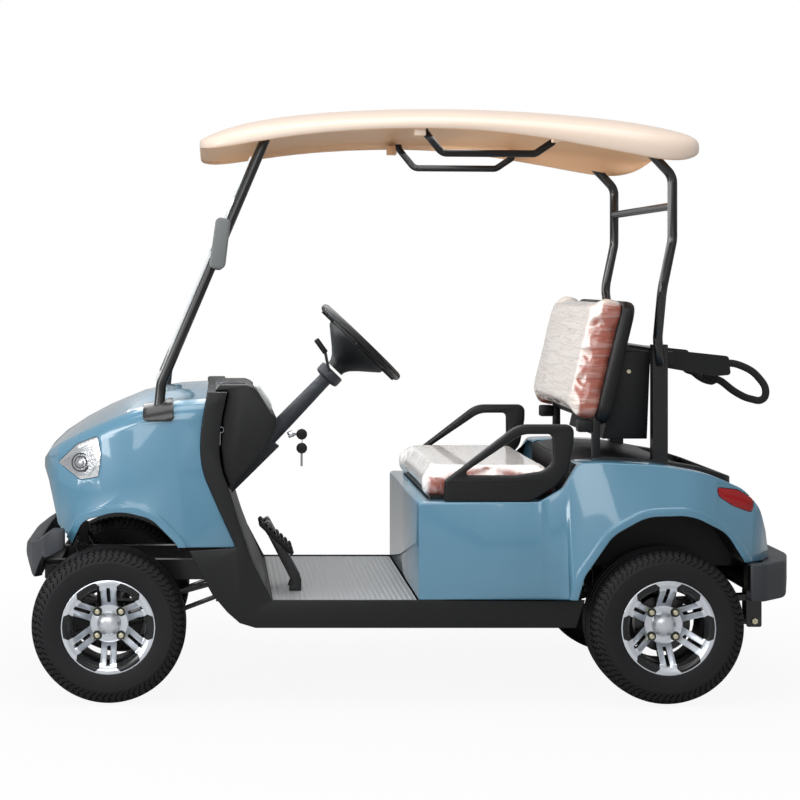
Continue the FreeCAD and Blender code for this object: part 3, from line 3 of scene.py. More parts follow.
import bmesh
import bpy
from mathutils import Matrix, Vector


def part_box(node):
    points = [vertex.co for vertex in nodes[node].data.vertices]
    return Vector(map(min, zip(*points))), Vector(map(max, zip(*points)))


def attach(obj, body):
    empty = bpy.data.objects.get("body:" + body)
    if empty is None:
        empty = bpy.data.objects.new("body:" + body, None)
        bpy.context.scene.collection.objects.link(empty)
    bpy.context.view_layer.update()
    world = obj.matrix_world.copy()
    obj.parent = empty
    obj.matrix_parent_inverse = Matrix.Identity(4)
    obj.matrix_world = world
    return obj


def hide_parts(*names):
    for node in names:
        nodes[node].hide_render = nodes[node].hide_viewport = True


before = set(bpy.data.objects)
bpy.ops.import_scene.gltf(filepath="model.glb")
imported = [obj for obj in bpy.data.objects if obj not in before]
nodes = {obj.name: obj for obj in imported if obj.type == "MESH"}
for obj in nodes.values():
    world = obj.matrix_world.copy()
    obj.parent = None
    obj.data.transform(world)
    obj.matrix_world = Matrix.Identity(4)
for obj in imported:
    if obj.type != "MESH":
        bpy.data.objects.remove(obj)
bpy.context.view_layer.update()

bpy.ops.object.select_all(action="DESELECT")

# Sizes shared by the pieces, in metres: the rear is towards +X, the driver's side is -Y
FRONT_AXLE_X = -0.9165
REAR_AXLE_X = 0.7495
AXLE_Z = 0.233
FRONT_TRACK = 0.946
REAR_TRACK = 0.984
# How far the hub's outer face lies beyond the wheel's middle plane
HUB_FACE = 0.012
# The height of the drawing's zero above the ground
LIFT = 0.008
# Corners closer than this are one corner
SAME_CORNER = 0.00002


# Modelling tools


def choose(piece):
    """Selects one piece alone and makes it the active one."""
    bpy.ops.object.select_all(action="DESELECT")
    piece.select_set(True)
    bpy.context.view_layer.objects.active = piece


def open_edit(piece):
    """Opens edit mode on one piece with nothing else selected."""
    choose(piece)
    bpy.ops.object.mode_set(mode="EDIT")


def close_edit():
    """Leaves edit mode."""
    bpy.ops.object.mode_set(mode="OBJECT")


def pick(kind, test):
    """Selects the vertices, edges or faces of the open piece whose middle passes the test."""
    bpy.ops.mesh.select_mode(type=kind)
    bpy.ops.mesh.select_all(action="DESELECT")
    mesh = bmesh.from_edit_mesh(bpy.context.edit_object.data)
    mesh.normal_update()
    for item in {"VERT": mesh.verts, "EDGE": mesh.edges, "FACE": mesh.faces}[kind]:
        if kind == "VERT":
            middle = item.co
        elif kind == "EDGE":
            middle = (item.verts[0].co + item.verts[1].co) / 2
        else:
            middle = item.calc_center_median()
        if test(middle, item):
            item.select_set(True)
    mesh.select_flush_mode()
    bmesh.update_edit_mesh(bpy.context.edit_object.data)


def new_piece(name):
    """An empty piece in edit mode."""
    bpy.ops.object.select_all(action="DESELECT")
    bpy.ops.mesh.primitive_plane_add(size=0.1, location=(0, 0, 0))
    piece = bpy.context.object
    piece.name = name
    piece.data.name = name
    bpy.ops.object.mode_set(mode="EDIT")
    bpy.ops.mesh.select_all(action="SELECT")
    bpy.ops.mesh.delete(type="VERT")
    return piece


def chain(points, closed=False, face=False):
    """Draws a line of vertices in the open piece by extruding from point to point."""
    bpy.ops.mesh.select_mode(type="VERT")
    bpy.ops.mesh.select_all(action="DESELECT")
    bpy.ops.mesh.primitive_plane_add(size=0.002, location=points[0])
    bpy.ops.mesh.merge(type="CENTER")
    for a, b in zip(points, points[1:]):
        bpy.ops.mesh.extrude_region_move(TRANSFORM_OT_translate={"value": Vector(b) - Vector(a)})
    mesh = bmesh.from_edit_mesh(bpy.context.edit_object.data)
    mesh.verts.ensure_lookup_table()
    count = len(points)
    for vert in mesh.verts[-count:]:
        vert.select_set(True)
    mesh.select_flush_mode()
    bmesh.update_edit_mesh(bpy.context.edit_object.data)
    if face:
        bpy.ops.mesh.edge_face_add()
    elif closed:
        bpy.ops.mesh.select_all(action="DESELECT")
        mesh = bmesh.from_edit_mesh(bpy.context.edit_object.data)
        mesh.verts.ensure_lookup_table()
        mesh.verts[-count].select_set(True)
        mesh.verts[-1].select_set(True)
        bmesh.update_edit_mesh(bpy.context.edit_object.data)
        bpy.ops.mesh.edge_face_add()


def tidy_mesh():
    """Merges doubles and turns every face of the open piece outwards."""
    bpy.ops.mesh.select_all(action="SELECT")
    bpy.ops.mesh.remove_doubles(threshold=SAME_CORNER)
    bpy.ops.mesh.normals_make_consistent(inside=False)


def modify(piece, kind, **settings):
    """Adds a modifier with its settings and applies it."""
    choose(piece)
    modifier = piece.modifiers.new(kind.lower(), kind)
    for key, value in settings.items():
        setattr(modifier, key, value)
    if kind == "SUBSURF":
        modifier.render_levels = modifier.levels
    bpy.ops.object.modifier_apply(modifier=modifier.name)


def smooth(piece, degrees):
    """Smooths the shading over edges flatter than the angle."""
    choose(piece)
    bpy.ops.object.shade_smooth_by_angle(angle=math.radians(degrees))


def ease(piece, width, segments=2, degrees=28):
    """Rounds the sharp edges of a piece and smooths its shading."""
    modify(piece, "BEVEL", width=width, segments=segments, limit_method="ANGLE", angle_limit=math.radians(degrees),
           use_clamp_overlap=False, miter_outer="MITER_ARC")
    smooth(piece, 40)


def finish_piece(piece, body, material, replaced=()):
    """Gives a piece its material and the body that it rides on."""
    piece.data.materials.clear()
    piece.data.materials.append(material)
    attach(piece, body)
    if replaced:
        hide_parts(*replaced)
    return piece


def refined(name, body, material, width):
    """A finished copy of a CAD node: corners merged, flat faces joined, sharp edges eased."""
    piece = bpy.data.objects.new(name + "_finish", nodes[name].data.copy())
    bpy.context.scene.collection.objects.link(piece)
    open_edit(piece)
    bpy.ops.mesh.select_all(action="SELECT")
    bpy.ops.mesh.remove_doubles(threshold=SAME_CORNER)
    bpy.ops.mesh.dissolve_limited(angle_limit=math.radians(0.4))
    close_edit()
    if width:
        ease(piece, width)
    else:
        smooth(piece, 40)
    return finish_piece(piece, body, material, [name])


def spun(name, profile, centre, steps):
    """A closed ring: a profile of (distance across, radius) turned about the Y axis."""
    piece = new_piece(name)
    x, y, z = centre
    chain([(x, y + a, z + r) for a, r in profile])
    bpy.ops.mesh.select_all(action="SELECT")
    bpy.ops.mesh.spin(steps=steps, angle=2 * math.pi, center=centre, axis=(0, 1, 0))
    tidy_mesh()
    close_edit()
    return piece


def plate(name, outline, y0, y1):
    """A side outline (x, z) given thickness across the cart."""
    piece = new_piece(name)
    chain([(x, y0, z) for x, z in outline], face=True)
    bpy.ops.mesh.extrude_region_move(TRANSFORM_OT_translate={"value": (0, y1 - y0, 0)})
    tidy_mesh()
    close_edit()
    return piece


def lofted(name, sections, closed):
    """A skin through rows of points, open or closed, each drawn and then all bridged. The piece stays open to edit."""
    piece = new_piece(name)
    for row in sections:
        chain(row, closed=closed)
    bpy.ops.mesh.select_all(action="SELECT")
    bpy.ops.mesh.bridge_edge_loops()
    return piece


def joined(pieces, name):
    """Several pieces as one."""
    bpy.ops.object.select_all(action="DESELECT")
    for piece in pieces:
        piece.select_set(True)
    bpy.context.view_layer.objects.active = pieces[0]
    bpy.ops.object.join()
    pieces[0].name = name
    return pieces[0]


def copied(piece, name, shift=(0, 0, 0), mirror=False):
    """A copy with its own mesh, moved or mirrored to the other side of the cart."""
    twin = piece.copy()
    twin.data = piece.data.copy()
    twin.name = name
    bpy.context.scene.collection.objects.link(twin)
    open_edit(twin)
    bpy.ops.mesh.select_all(action="SELECT")
    if mirror:
        bpy.ops.transform.resize(value=(1, -1, 1), center_override=(0, 0, 0))
        bpy.ops.mesh.flip_normals()
    if any(shift):
        bpy.ops.transform.translate(value=shift)
    close_edit()
    return twin


def placed(name):
    """Names the primitive that was just added and puts its place into its mesh."""
    piece = bpy.context.object
    piece.name = name
    bpy.ops.object.transform_apply(location=True, rotation=True, scale=True)
    return piece


def block(name, low, high):
    """A box between two corners, ready to be shaped."""
    bpy.ops.object.select_all(action="DESELECT")
    centre = [(a + b) / 2 for a, b in zip(low, high)]
    bpy.ops.mesh.primitive_cube_add(size=1, location=centre, scale=[b - a for a, b in zip(low, high)])
    return placed(name)


def disc(name, centre, radius, depth, axis="Y", *, sides):
    """A short round bar about the X, Y or Z axis."""
    turn = {"X": (0, math.pi / 2, 0), "Y": (math.pi / 2, 0, 0), "Z": (0, 0, 0)}[axis]
    bpy.ops.object.select_all(action="DESELECT")
    bpy.ops.mesh.primitive_cylinder_add(vertices=sides, radius=radius, depth=depth, location=centre, rotation=turn)
    return placed(name)


def ring(name, radius, thickness, segments, place, turn=(0, 0, 0)):
    """A round ring: the radius of its middle line, half its thickness, and its steps round and across."""
    bpy.ops.object.select_all(action="DESELECT")
    bpy.ops.mesh.primitive_torus_add(major_radius=radius, minor_radius=thickness, major_segments=segments[0],
                                     minor_segments=segments[1], location=place, rotation=turn)
    return placed(name)


def at(x, y, z):
    """A point in metres from the drawing's millimetres, measured from the front axle."""
    return (x / 1000 + FRONT_AXLE_X, y / 1000, z / 1000 + LIFT)


def side_points(points):
    """Points (along, height) of the drawing as (x, z) in metres."""
    return [at(x, 0, z)[::2] for x, z in points]


# Material tools


def linear(code):
    """An sRGB hex colour as the linear colour that shaders take."""
    parts = [int(code[i:i + 2], 16) / 255 for i in (0, 2, 4)]
    return tuple(c / 12.92 if c <= 0.04045 else ((c + 0.055) / 1.055) ** 2.4 for c in parts) + (1.0,)


def add(tree, kind, settings=None, links=None):
    """Adds a node; settings go to its properties or inputs, links to its inputs."""
    node = tree.nodes.new(kind)
    for key, value in (settings or {}).items():
        if isinstance(key, str) and hasattr(node, key):
            setattr(node, key, value)
        else:
            node.inputs[key].default_value = value
    for key, socket in (links or {}).items():
        tree.links.new(socket, node.inputs[key])
    return node


def new_material(name):
    """An empty node material and its output node."""
    material = bpy.data.materials.new(name)
    material.use_nodes = True
    tree = material.node_tree
    tree.nodes.clear()
    return material, tree, add(tree, "ShaderNodeOutputMaterial")


def finish_material(tree, output, shader, bump=None):
    """Joins the shader to the output, with an optional bump on it."""
    if bump is not None:
        tree.links.new(bump.outputs["Normal"], shader.inputs["Normal"])
    tree.links.new(shader.outputs[0], output.inputs["Surface"])


def patterned(name):
    """A new material and the texture coordinates of its piece."""
    material, tree, output = new_material(name)
    return material, tree, output, add(tree, "ShaderNodeTexCoord").outputs


def dress(names, material):
    """Gives CAD nodes a material."""
    for name in names:
        slots = nodes[name].data.materials
        slots.clear()
        slots.append(material)


# Materials


def blue_enamel():
    # Sprayed acrylic enamel under clear lacquer on moulded plastic: an even grey-blue with a wet gloss
    material, tree, output, place = patterned("blue_acrylic_enamel")
    waves = add(tree, "ShaderNodeTexNoise", {"Scale": 7.0, "Detail": 2.0}, {"Vector": place["Object"]})
    bump = add(tree, "ShaderNodeBump", {"Strength": 0.03, "Distance": 0.004}, {"Height": waves.outputs["Fac"]})
    tone = add(tree, "ShaderNodeMix", {"data_type": "RGBA", 6: linear("52829B"), 7: linear("4B7A93")},
               {"Factor": waves.outputs["Fac"]})
    shader = add(tree, "ShaderNodeBsdfPrincipled", {"Roughness": 0.3, "Coat Weight": 1.0, "Coat Roughness": 0.05},
                 {"Base Color": tone.outputs[2]})
    finish_material(tree, output, shader, bump)
    return material


def grained_plastic(name, code, rough):
    # Injection-moulded polypropylene with a fine etched grain, 1 mm pitch drawn a little coarse to show
    material, tree, output, place = patterned(name)
    grain = add(tree, "ShaderNodeTexNoise", {"Scale": 700.0, "Detail": 2.0}, {"Vector": place["Object"]})
    patches = add(tree, "ShaderNodeTexNoise", {"Scale": 6.0, "Detail": 3.0}, {"Vector": place["Object"]})
    shade = add(tree, "ShaderNodeMapRange", {"To Min": rough - 0.06, "To Max": rough + 0.08},
                {"Value": patches.outputs["Fac"]})
    bump = add(tree, "ShaderNodeBump", {"Strength": 0.25, "Distance": 0.0004}, {"Height": grain.outputs["Fac"]})
    shader = add(tree, "ShaderNodeBsdfPrincipled", {"Base Color": linear(code), "Specular IOR Level": 0.35},
                 {"Roughness": shade.outputs["Result"]})
    finish_material(tree, output, shader, bump)
    return material


def powder_coat():
    # Powder-coated steel tube: satin black with a faint orange-peel ripple
    material, tree, output, place = patterned("black_powder_coated_steel")
    peel = add(tree, "ShaderNodeTexNoise", {"Scale": 260.0, "Detail": 1.0}, {"Vector": place["Object"]})
    bump = add(tree, "ShaderNodeBump", {"Strength": 0.15, "Distance": 0.0006}, {"Height": peel.outputs["Fac"]})
    shader = add(tree, "ShaderNodeBsdfPrincipled", {"Base Color": linear("0E0E0F"), "Roughness": 0.3,
                                                    "Coat Weight": 0.3, "Coat Roughness": 0.15})
    finish_material(tree, output, shader, bump)
    return material


def zinc_plate():
    # Zinc-plated steel fasteners: pale silver with a faint yellow passivation, a little cloudy
    material, tree, output, place = patterned("yellow_zinc_plated_steel")
    cloud = add(tree, "ShaderNodeTexNoise", {"Scale": 90.0, "Detail": 3.0}, {"Vector": place["Object"]})
    tone = add(tree, "ShaderNodeMix", {"data_type": "RGBA", 6: linear("C9C2A2"), 7: linear("E4DDC4")},
               {"Factor": cloud.outputs["Fac"]})
    shader = add(tree, "ShaderNodeBsdfPrincipled", {"Metallic": 1.0, "Roughness": 0.32},
                 {"Base Color": tone.outputs[2]})
    finish_material(tree, output, shader)
    return material


def chrome():
    # Chromium-plated steel: bright, faintly blue, with the soft waves of a buffed tube
    material, tree, output, place = patterned("chromium_plated_steel")
    wave = add(tree, "ShaderNodeTexNoise", {"Scale": 30.0, "Detail": 1.0}, {"Vector": place["Object"]})
    bump = add(tree, "ShaderNodeBump", {"Strength": 0.05, "Distance": 0.001}, {"Height": wave.outputs["Fac"]})
    shader = add(tree, "ShaderNodeBsdfPrincipled", {"Base Color": linear("C9CCD1"), "Metallic": 1.0,
                                                    "Roughness": 0.14})
    finish_material(tree, output, shader, bump)
    return material


def canopy_moulding():
    # Thermoformed ABS canopy: a satin cream skin and a tan lining, which is every face that looks down or inwards
    material, tree, output, place = patterned("thermoformed_abs_canopy")
    cloud = add(tree, "ShaderNodeTexNoise", {"Scale": 3.0, "Detail": 3.0}, {"Vector": place["Object"]})
    facing = add(tree, "ShaderNodeSeparateXYZ", links={"Vector": place["Normal"]}).outputs
    where = add(tree, "ShaderNodeSeparateXYZ", links={"Vector": place["Object"]}).outputs
    inwards = [add(tree, "ShaderNodeMath", {"operation": "MULTIPLY"}, {
        0: add(tree, "ShaderNodeMath", {"operation": "SIGN"}, {0: where[axis]}).outputs[0],
        1: facing[axis]}).outputs[0] for axis in ("X", "Y")]
    down = add(tree, "ShaderNodeMath", {"operation": "ADD", 1: 0.35}, {0: facing["Z"]})
    sideways = add(tree, "ShaderNodeMath", {"operation": "MINIMUM"}, {0: inwards[0], 1: inwards[1]})
    lowest = add(tree, "ShaderNodeMath", {"operation": "MINIMUM"}, {0: down.outputs[0], 1: sideways.outputs[0]})
    inner = add(tree, "ShaderNodeMath", {"operation": "LESS_THAN", 1: -0.4}, {0: lowest.outputs[0]})
    grain = add(tree, "ShaderNodeTexNoise", {"Scale": 500.0}, {"Vector": place["Object"]})
    bump = add(tree, "ShaderNodeBump", {"Strength": 0.08, "Distance": 0.0005}, {"Height": grain.outputs["Fac"]})
    skin = add(tree, "ShaderNodeMix", {"data_type": "RGBA", 6: linear("E0CDBD"), 7: linear("DAC5B4")},
               {"Factor": cloud.outputs["Fac"]})
    lining = add(tree, "ShaderNodeMix", {"data_type": "RGBA", 6: linear("E8BC93"), 7: linear("E0B288")},
                 {"Factor": cloud.outputs["Fac"]})
    tone = add(tree, "ShaderNodeMix", {"data_type": "RGBA"},
               {"Factor": inner.outputs[0], 6: skin.outputs[2], 7: lining.outputs[2]})
    shader = add(tree, "ShaderNodeBsdfPrincipled", {"Roughness": 0.38, "Coat Weight": 0.3, "Coat Roughness": 0.2},
                 {"Base Color": tone.outputs[2]})
    finish_material(tree, output, shader, bump)
    return material


def clear_acrylic(name, code, weight):
    # Cast acrylic sheet or moulded lens: clear with a hard gloss
    material, tree, output = new_material(name)
    shader = add(tree, "ShaderNodeBsdfPrincipled", {"Base Color": linear(code), "Roughness": 0.03, "IOR": 1.49,
                                                    "Transmission Weight": weight})
    finish_material(tree, output, shader)
    return material


def tyre_rubber():
    # Moulded carbon-black rubber: dark grey, matt, with a dusty bloom
    material, tree, output, place = patterned("moulded_tyre_rubber")
    dust = add(tree, "ShaderNodeTexNoise", {"Scale": 14.0, "Detail": 5.0}, {"Vector": place["Object"]})
    grain = add(tree, "ShaderNodeTexNoise", {"Scale": 500.0, "Detail": 2.0}, {"Vector": place["Object"]})
    bump = add(tree, "ShaderNodeBump", {"Strength": 0.2, "Distance": 0.0005}, {"Height": grain.outputs["Fac"]})
    tone = add(tree, "ShaderNodeMix", {"data_type": "RGBA", 6: linear("0C0C0E"), 7: linear("161619")},
               {"Factor": dust.outputs["Fac"]})
    shader = add(tree, "ShaderNodeBsdfPrincipled", {"Roughness": 0.62, "Specular IOR Level": 0.28},
                 {"Base Color": tone.outputs[2]})
    finish_material(tree, output, shader, bump)
    return material


def ribbed_rubber():
    # Extruded floor matting: grey rubber with a rib every 16 mm along the mat, coarse enough to show
    material, tree, output, place = patterned("ribbed_floor_rubber")
    ribs = add(tree, "ShaderNodeTexWave", {"wave_type": "BANDS", "bands_direction": "X", "Scale": 20.0,
                                           "Distortion": 0.0}, {"Vector": place["Object"]})
    bump = add(tree, "ShaderNodeBump", {"Strength": 0.8, "Distance": 0.002}, {"Height": ribs.outputs["Fac"]})
    shader = add(tree, "ShaderNodeBsdfPrincipled", {"Base Color": linear("94979A"), "Roughness": 0.42})
    finish_material(tree, output, shader, bump)
    return material


# The bright faces of a wheel, in metres: the spokes widen from the flare's radius on, and the lip is a thin ring
SPOKES = 6
SPOKE_HALF_WIDTH = 0.0255
FLARE_START = 0.124
HUB_RADIUS = 0.064
LIP_START = 0.1372
DEPTH_ALLOWANCE = 0.003


def machined_alloy():
    # Cast aluminium wheel: diamond-turned hub, spokes and lip, gloss black lacquer in every pocket between them
    material, tree, output, place = patterned("machined_cast_aluminium")
    where = add(tree, "ShaderNodeSeparateXYZ", links={"Vector": place["Object"]}).outputs
    facing = add(tree, "ShaderNodeSeparateXYZ", links={"Vector": place["Normal"]}).outputs
    value = {"x": where["X"], "y": where["Y"], "z": where["Z"], "facing": facing["Y"]}
    # Each row names a value, the operation that gives it and what goes in: a value above it or a number
    for name, operation, *inputs in (
            ("side", "SIGN", "y"), ("outward", "MULTIPLY", "side", "facing"),
            # The front wheels stand nearer to the middle, so their faces are shifted out to the rear wheels'
            ("front", "LESS_THAN", "x", 0.0), ("widening", "MULTIPLY", "front", (REAR_TRACK - FRONT_TRACK) / 2),
            ("distance", "ABSOLUTE", "y"), ("level", "ADD", "distance", "widening"),
            # Distance along and above the nearer axle, and from them the radius
            ("past_rear", "SUBTRACT", "x", REAR_AXLE_X),
            ("wheelbase", "MULTIPLY", "front", REAR_AXLE_X - FRONT_AXLE_X),
            ("along", "ADD", "past_rear", "wheelbase"),
            ("above", "SUBTRACT", "z", AXLE_Z),
            ("along_squared", "MULTIPLY", "along", "along"), ("above_squared", "MULTIPLY", "above", "above"),
            ("squares", "ADD", "along_squared", "above_squared"), ("radius", "SQRT", "squares"),
            # Distance aside from the middle of the nearest of six spokes, which flare near the rim
            ("angle", "ARCTAN2", "along", "above"), ("turn", "PINGPONG", "angle", math.pi / SPOKES),
            ("sine", "SINE", "turn"), ("aside", "MULTIPLY", "radius", "sine"),
            ("past_flare", "SUBTRACT", "radius", FLARE_START), ("flare", "MAXIMUM", "past_flare", 0.0),
            ("half_width", "ADD", "flare", SPOKE_HALF_WIDTH), ("on_spoke", "LESS_THAN", "aside", "half_width"),
            ("on_hub", "LESS_THAN", "radius", HUB_RADIUS), ("on_lip", "GREATER_THAN", "radius", LIP_START),
            ("hub_or_lip", "MAXIMUM", "on_hub", "on_lip"), ("area", "MAXIMUM", "on_spoke", "hub_or_lip"),
            # Only faces that look outwards and lie no deeper than the hub are turned bright
            ("faced", "GREATER_THAN", "outward", 0.42),
            ("shown", "GREATER_THAN", "level", REAR_TRACK / 2 + HUB_FACE - DEPTH_ALLOWANCE),
            ("turned", "MULTIPLY", "faced", "shown"), ("bright", "MULTIPLY", "area", "turned")):
        numbers = {i: given for i, given in enumerate(inputs) if not isinstance(given, str)}
        sockets = {i: value[given] for i, given in enumerate(inputs) if isinstance(given, str)}
        value[name] = add(tree, "ShaderNodeMath", {"operation": operation, **numbers}, sockets).outputs[0]
    silver = add(tree, "ShaderNodeBsdfPrincipled", {"Base Color": linear("DCE1E8"), "Metallic": 0.9,
                                                    "Roughness": 0.28})
    black = add(tree, "ShaderNodeBsdfPrincipled", {"Base Color": linear("060708"), "Roughness": 0.25})
    mix = add(tree, "ShaderNodeMixShader", links={0: value["bright"], 1: black.outputs[0], 2: silver.outputs[0]})
    tree.links.new(mix.outputs[0], output.inputs["Surface"])
    return material


def polished_alloy():
    # Polished cast aluminium: the domed centre cap, plain silver with a soft grey cloud
    material, tree, output, place = patterned("polished_cast_aluminium")
    cloud = add(tree, "ShaderNodeTexNoise", {"Scale": 40.0, "Detail": 3.0}, {"Vector": place["Object"]})
    tone = add(tree, "ShaderNodeMix", {"data_type": "RGBA", 6: linear("D5D8DC"), 7: linear("BCC0C6")},
               {"Factor": cloud.outputs["Fac"]})
    shader = add(tree, "ShaderNodeBsdfPrincipled", {"Metallic": 0.55, "Roughness": 0.3},
                 {"Base Color": tone.outputs[2]})
    finish_material(tree, output, shader)
    return material


def wrapped_leather(name, stretch, white, sheen_colour):
    # Vinyl leather under clear wrapping film, with painted light: red-brown, turned nearly white on faces that look up
    # or forwards as a painted reflection of the lamps on the film; painted glints streak its folds and thin grey-pink
    # painted shade lines its fold ridges
    # The white and colour arguments set the strength and colour of the painted sheen
    material, tree, output, place = patterned(name)
    spread = add(tree, "ShaderNodeMapping", {"Scale": stretch}, {"Vector": place["Object"]})
    folds = add(tree, "ShaderNodeTexNoise", {"Scale": 1.0, "Detail": 2.5, "Distortion": 0.5},
                {"Vector": spread.outputs["Vector"]})
    facing = add(tree, "ShaderNodeSeparateXYZ", links={"Vector": place["Normal"]}).outputs
    # Painted reflection: faces that look up or forwards, towards the overhead and front lamps, are whitened
    forwards = add(tree, "ShaderNodeMath", {"operation": "MULTIPLY", 1: -1.0}, {0: facing["X"]})
    lamp_facing = add(tree, "ShaderNodeMath", {"operation": "MAXIMUM"}, {0: facing["Z"], 1: forwards.outputs[0]})
    facing_sheen = add(tree, "ShaderNodeMapRange", {"From Min": 0.42, "From Max": 0.78, "To Min": 0.0, "To Max": white},
                {"Value": lamp_facing.outputs[0]})
    # Painted glints: white streaks along the folds, on every face
    painted_glint = add(tree, "ShaderNodeMapRange", {"From Min": 0.47, "From Max": 0.62, "To Min": 0.05, "To Max": 0.24},
                 {"Value": folds.outputs["Fac"]})
    # The share of painted sheen over the brown leather
    film = add(tree, "ShaderNodeMath", {"operation": "ADD", "use_clamp": True},
               {0: facing_sheen.outputs["Result"], 1: painted_glint.outputs["Result"]})
    # Painted shade: thin grey-pink lines along the fold ridges
    middle = add(tree, "ShaderNodeMath", {"operation": "SUBTRACT", 1: 0.5}, {0: folds.outputs["Fac"]})
    ridge = add(tree, "ShaderNodeMath", {"operation": "ABSOLUTE"}, {0: middle.outputs[0]})
    line = add(tree, "ShaderNodeMapRange", {"From Min": 0.0, "From Max": 0.014, "To Min": 0.6, "To Max": 0.0},
               {"Value": ridge.outputs[0]})
    # Brown leather mixed with the colour of the painted sheen
    wrapped = add(tree, "ShaderNodeMix", {"data_type": "RGBA", 6: linear("94402A"), 7: linear(sheen_colour)},
                  {"Factor": film.outputs[0]})
    shaded = add(tree, "ShaderNodeMix", {"data_type": "RGBA", 7: linear("7B6258")},
                 {"Factor": line.outputs["Result"], 6: wrapped.outputs[2]})
    bump = add(tree, "ShaderNodeBump", {"Strength": 0.85, "Distance": 0.007}, {"Height": folds.outputs["Fac"]})
    shader = add(tree, "ShaderNodeBsdfPrincipled", {"Roughness": 0.3, "Coat Weight": 1.0, "Coat Roughness": 0.05},
                 {"Base Color": shaded.outputs[2]})
    finish_material(tree, output, shader, bump)
    return material


def woven_webbing():
    # Woven polyester webbing: black, with a rib every 4 mm where the real one has 2 mm, so that it shows
    material, tree, output, place = patterned("woven_polyester_webbing")
    rib = add(tree, "ShaderNodeTexWave", {"bands_direction": "Y", "Scale": 80.0}, {"Vector": place["Object"]})
    bump = add(tree, "ShaderNodeBump", {"Strength": 0.6, "Distance": 0.0008}, {"Height": rib.outputs["Fac"]})
    shader = add(tree, "ShaderNodeBsdfPrincipled", {"Base Color": linear("161617"), "Roughness": 0.85})
    finish_material(tree, output, shader, bump)
    return material


def lamp_silver():
    # Vacuum-metallised reflector behind a clear polycarbonate lens: bright and pebbled under a hard gloss
    material, tree, output, place = patterned("vacuum_metallised_reflector")
    cells = add(tree, "ShaderNodeTexVoronoi", {"Scale": 120.0}, {"Vector": place["Object"]})
    bump = add(tree, "ShaderNodeBump", {"Strength": 0.3, "Distance": 0.001}, {"Height": cells.outputs["Distance"]})
    shader = add(tree, "ShaderNodeBsdfPrincipled", {"Base Color": linear("DDE0E4"), "Metallic": 0.9,
                                                    "Roughness": 0.22, "Coat Weight": 1.0, "Coat Roughness": 0.02})
    finish_material(tree, output, shader, bump)
    return material


BLUE = blue_enamel()
BLACK_PLASTIC = grained_plastic("black_moulded_polypropylene", "0C0D0F", 0.44)
GREY_PLASTIC = grained_plastic("grey_moulded_polypropylene", "303338", 0.5)
STRIP_GREY = grained_plastic("light_grey_moulded_polypropylene", "B9BCBD", 0.5)
MID_GREY = grained_plastic("mid_grey_moulded_polypropylene", "6A6D6E", 0.5)
BLACK_STEEL = powder_coat()
ZINC = zinc_plate()
CHROME = chrome()
CANOPY = canopy_moulding()
CLEAR = clear_acrylic("clear_cast_acrylic", "F4F8FA", 1.0)
RED_LENS = clear_acrylic("red_lamp_acrylic", "B01018", 0.35)
RUBBER = tyre_rubber()
MAT = ribbed_rubber()
ALLOY = machined_alloy()
POLISHED = polished_alloy()
# Lit and shaded copies of one leather: the seat's painted sheen is stronger and whiter to make up for the roof's shade
# on its top, the back's weaker and greyer because the front lamps light it more; each stretch gives its own wrinkles
SEAT_LEATHER = wrapped_leather("brown_vinyl_leather_in_wrap_with_painted_sheen", (30.0, 9.0, 24.0), 0.95, "FFFDFB")
BACK_LEATHER = wrapped_leather("brown_vinyl_leather_in_wrap_with_dimmer_painted_sheen", (8.0, 4.0, 62.0), 0.84, "DAD3CC")
WEBBING = woven_webbing()
REFLECTOR = lamp_silver()


# CAD nodes that keep their own shape

dress(["arch_liners", "battery_pack", "seat_board"], BLACK_PLASTIC)
dress(["chassis_frame", "front_axle", "front_suspension", "rear_axle", "rear_suspension", "left_knuckle",
       "right_knuckle", "tie_rod"], BLACK_STEEL)
dress(["windscreen"], CLEAR)
dress(["floor_mat"], MAT)

# CAD nodes with their edges eased by a width in metres, or only smoothed

for part, material, finish, width in (
        ("front_cowl", BLUE, "blue_paint", 0.002), ("rear_body", BLUE, "blue_paint", 0.003),
        ("floor_tray", BLACK_PLASTIC, "black_plastic", 0.003),
        ("front_bumper", GREY_PLASTIC, "black_plastic", 0.004), ("rear_bumper", GREY_PLASTIC, "black_plastic", 0.006),
        ("rear_deck", BLACK_PLASTIC, "black_plastic", 0.003), ("hip_restraints", BLACK_PLASTIC, "black_metal", 0.003),
        ("sweater_bin", BLACK_PLASTIC, "black_plastic", 0.002),
        ("rear_pillars", BLACK_STEEL, "black_metal", 0), ("bag_holder", BLACK_PLASTIC, "black_plastic", 0),
        ("grab_rails", BLACK_PLASTIC, "black_metal", 0), ("front_pillars", BLACK_STEEL, "black_metal", 0.002),
        ("mirrors", MID_GREY, "black_plastic", 0.006),
        ("pedals", BLACK_STEEL, "black_metal", 0.002), ("tail_lamps", RED_LENS, "red_lens", 0.003),
        ("headlamps", REFLECTOR, "lamp_lens", 0.003)):
    refined(part, "root", material, width)
refined("steering_wheel", "steering_wheel", BLACK_PLASTIC, 0.002)
for corner in ("front_left", "front_right", "rear_left", "rear_right"):
    refined(corner + "_wheel", corner + "_wheel", ALLOY, 0.0012)


# Wheels and tyres

WHEELS = (("front_left", FRONT_AXLE_X, -FRONT_TRACK / 2, -1), ("front_right", FRONT_AXLE_X, FRONT_TRACK / 2, 1),
          ("rear_left", REAR_AXLE_X, -REAR_TRACK / 2, -1), ("rear_right", REAR_AXLE_X, REAR_TRACK / 2, 1))
SIPE_COUNT = 72
# The steps round the tyre between one sipe and the next, of which the first is cut
SIPE_STEPS = 3
SIPE_DEPTH = 0.0045
# The band of the shoulder that is cut, in three rows that each lean more than the last, in degrees
SHOULDER = (0.0655, 0.0985)
ROW_LEAN = (0.85, 1.85, 2.9)
TREAD_RADIUS = 0.2
NUT_CIRCLE_RADIUS = 0.0508


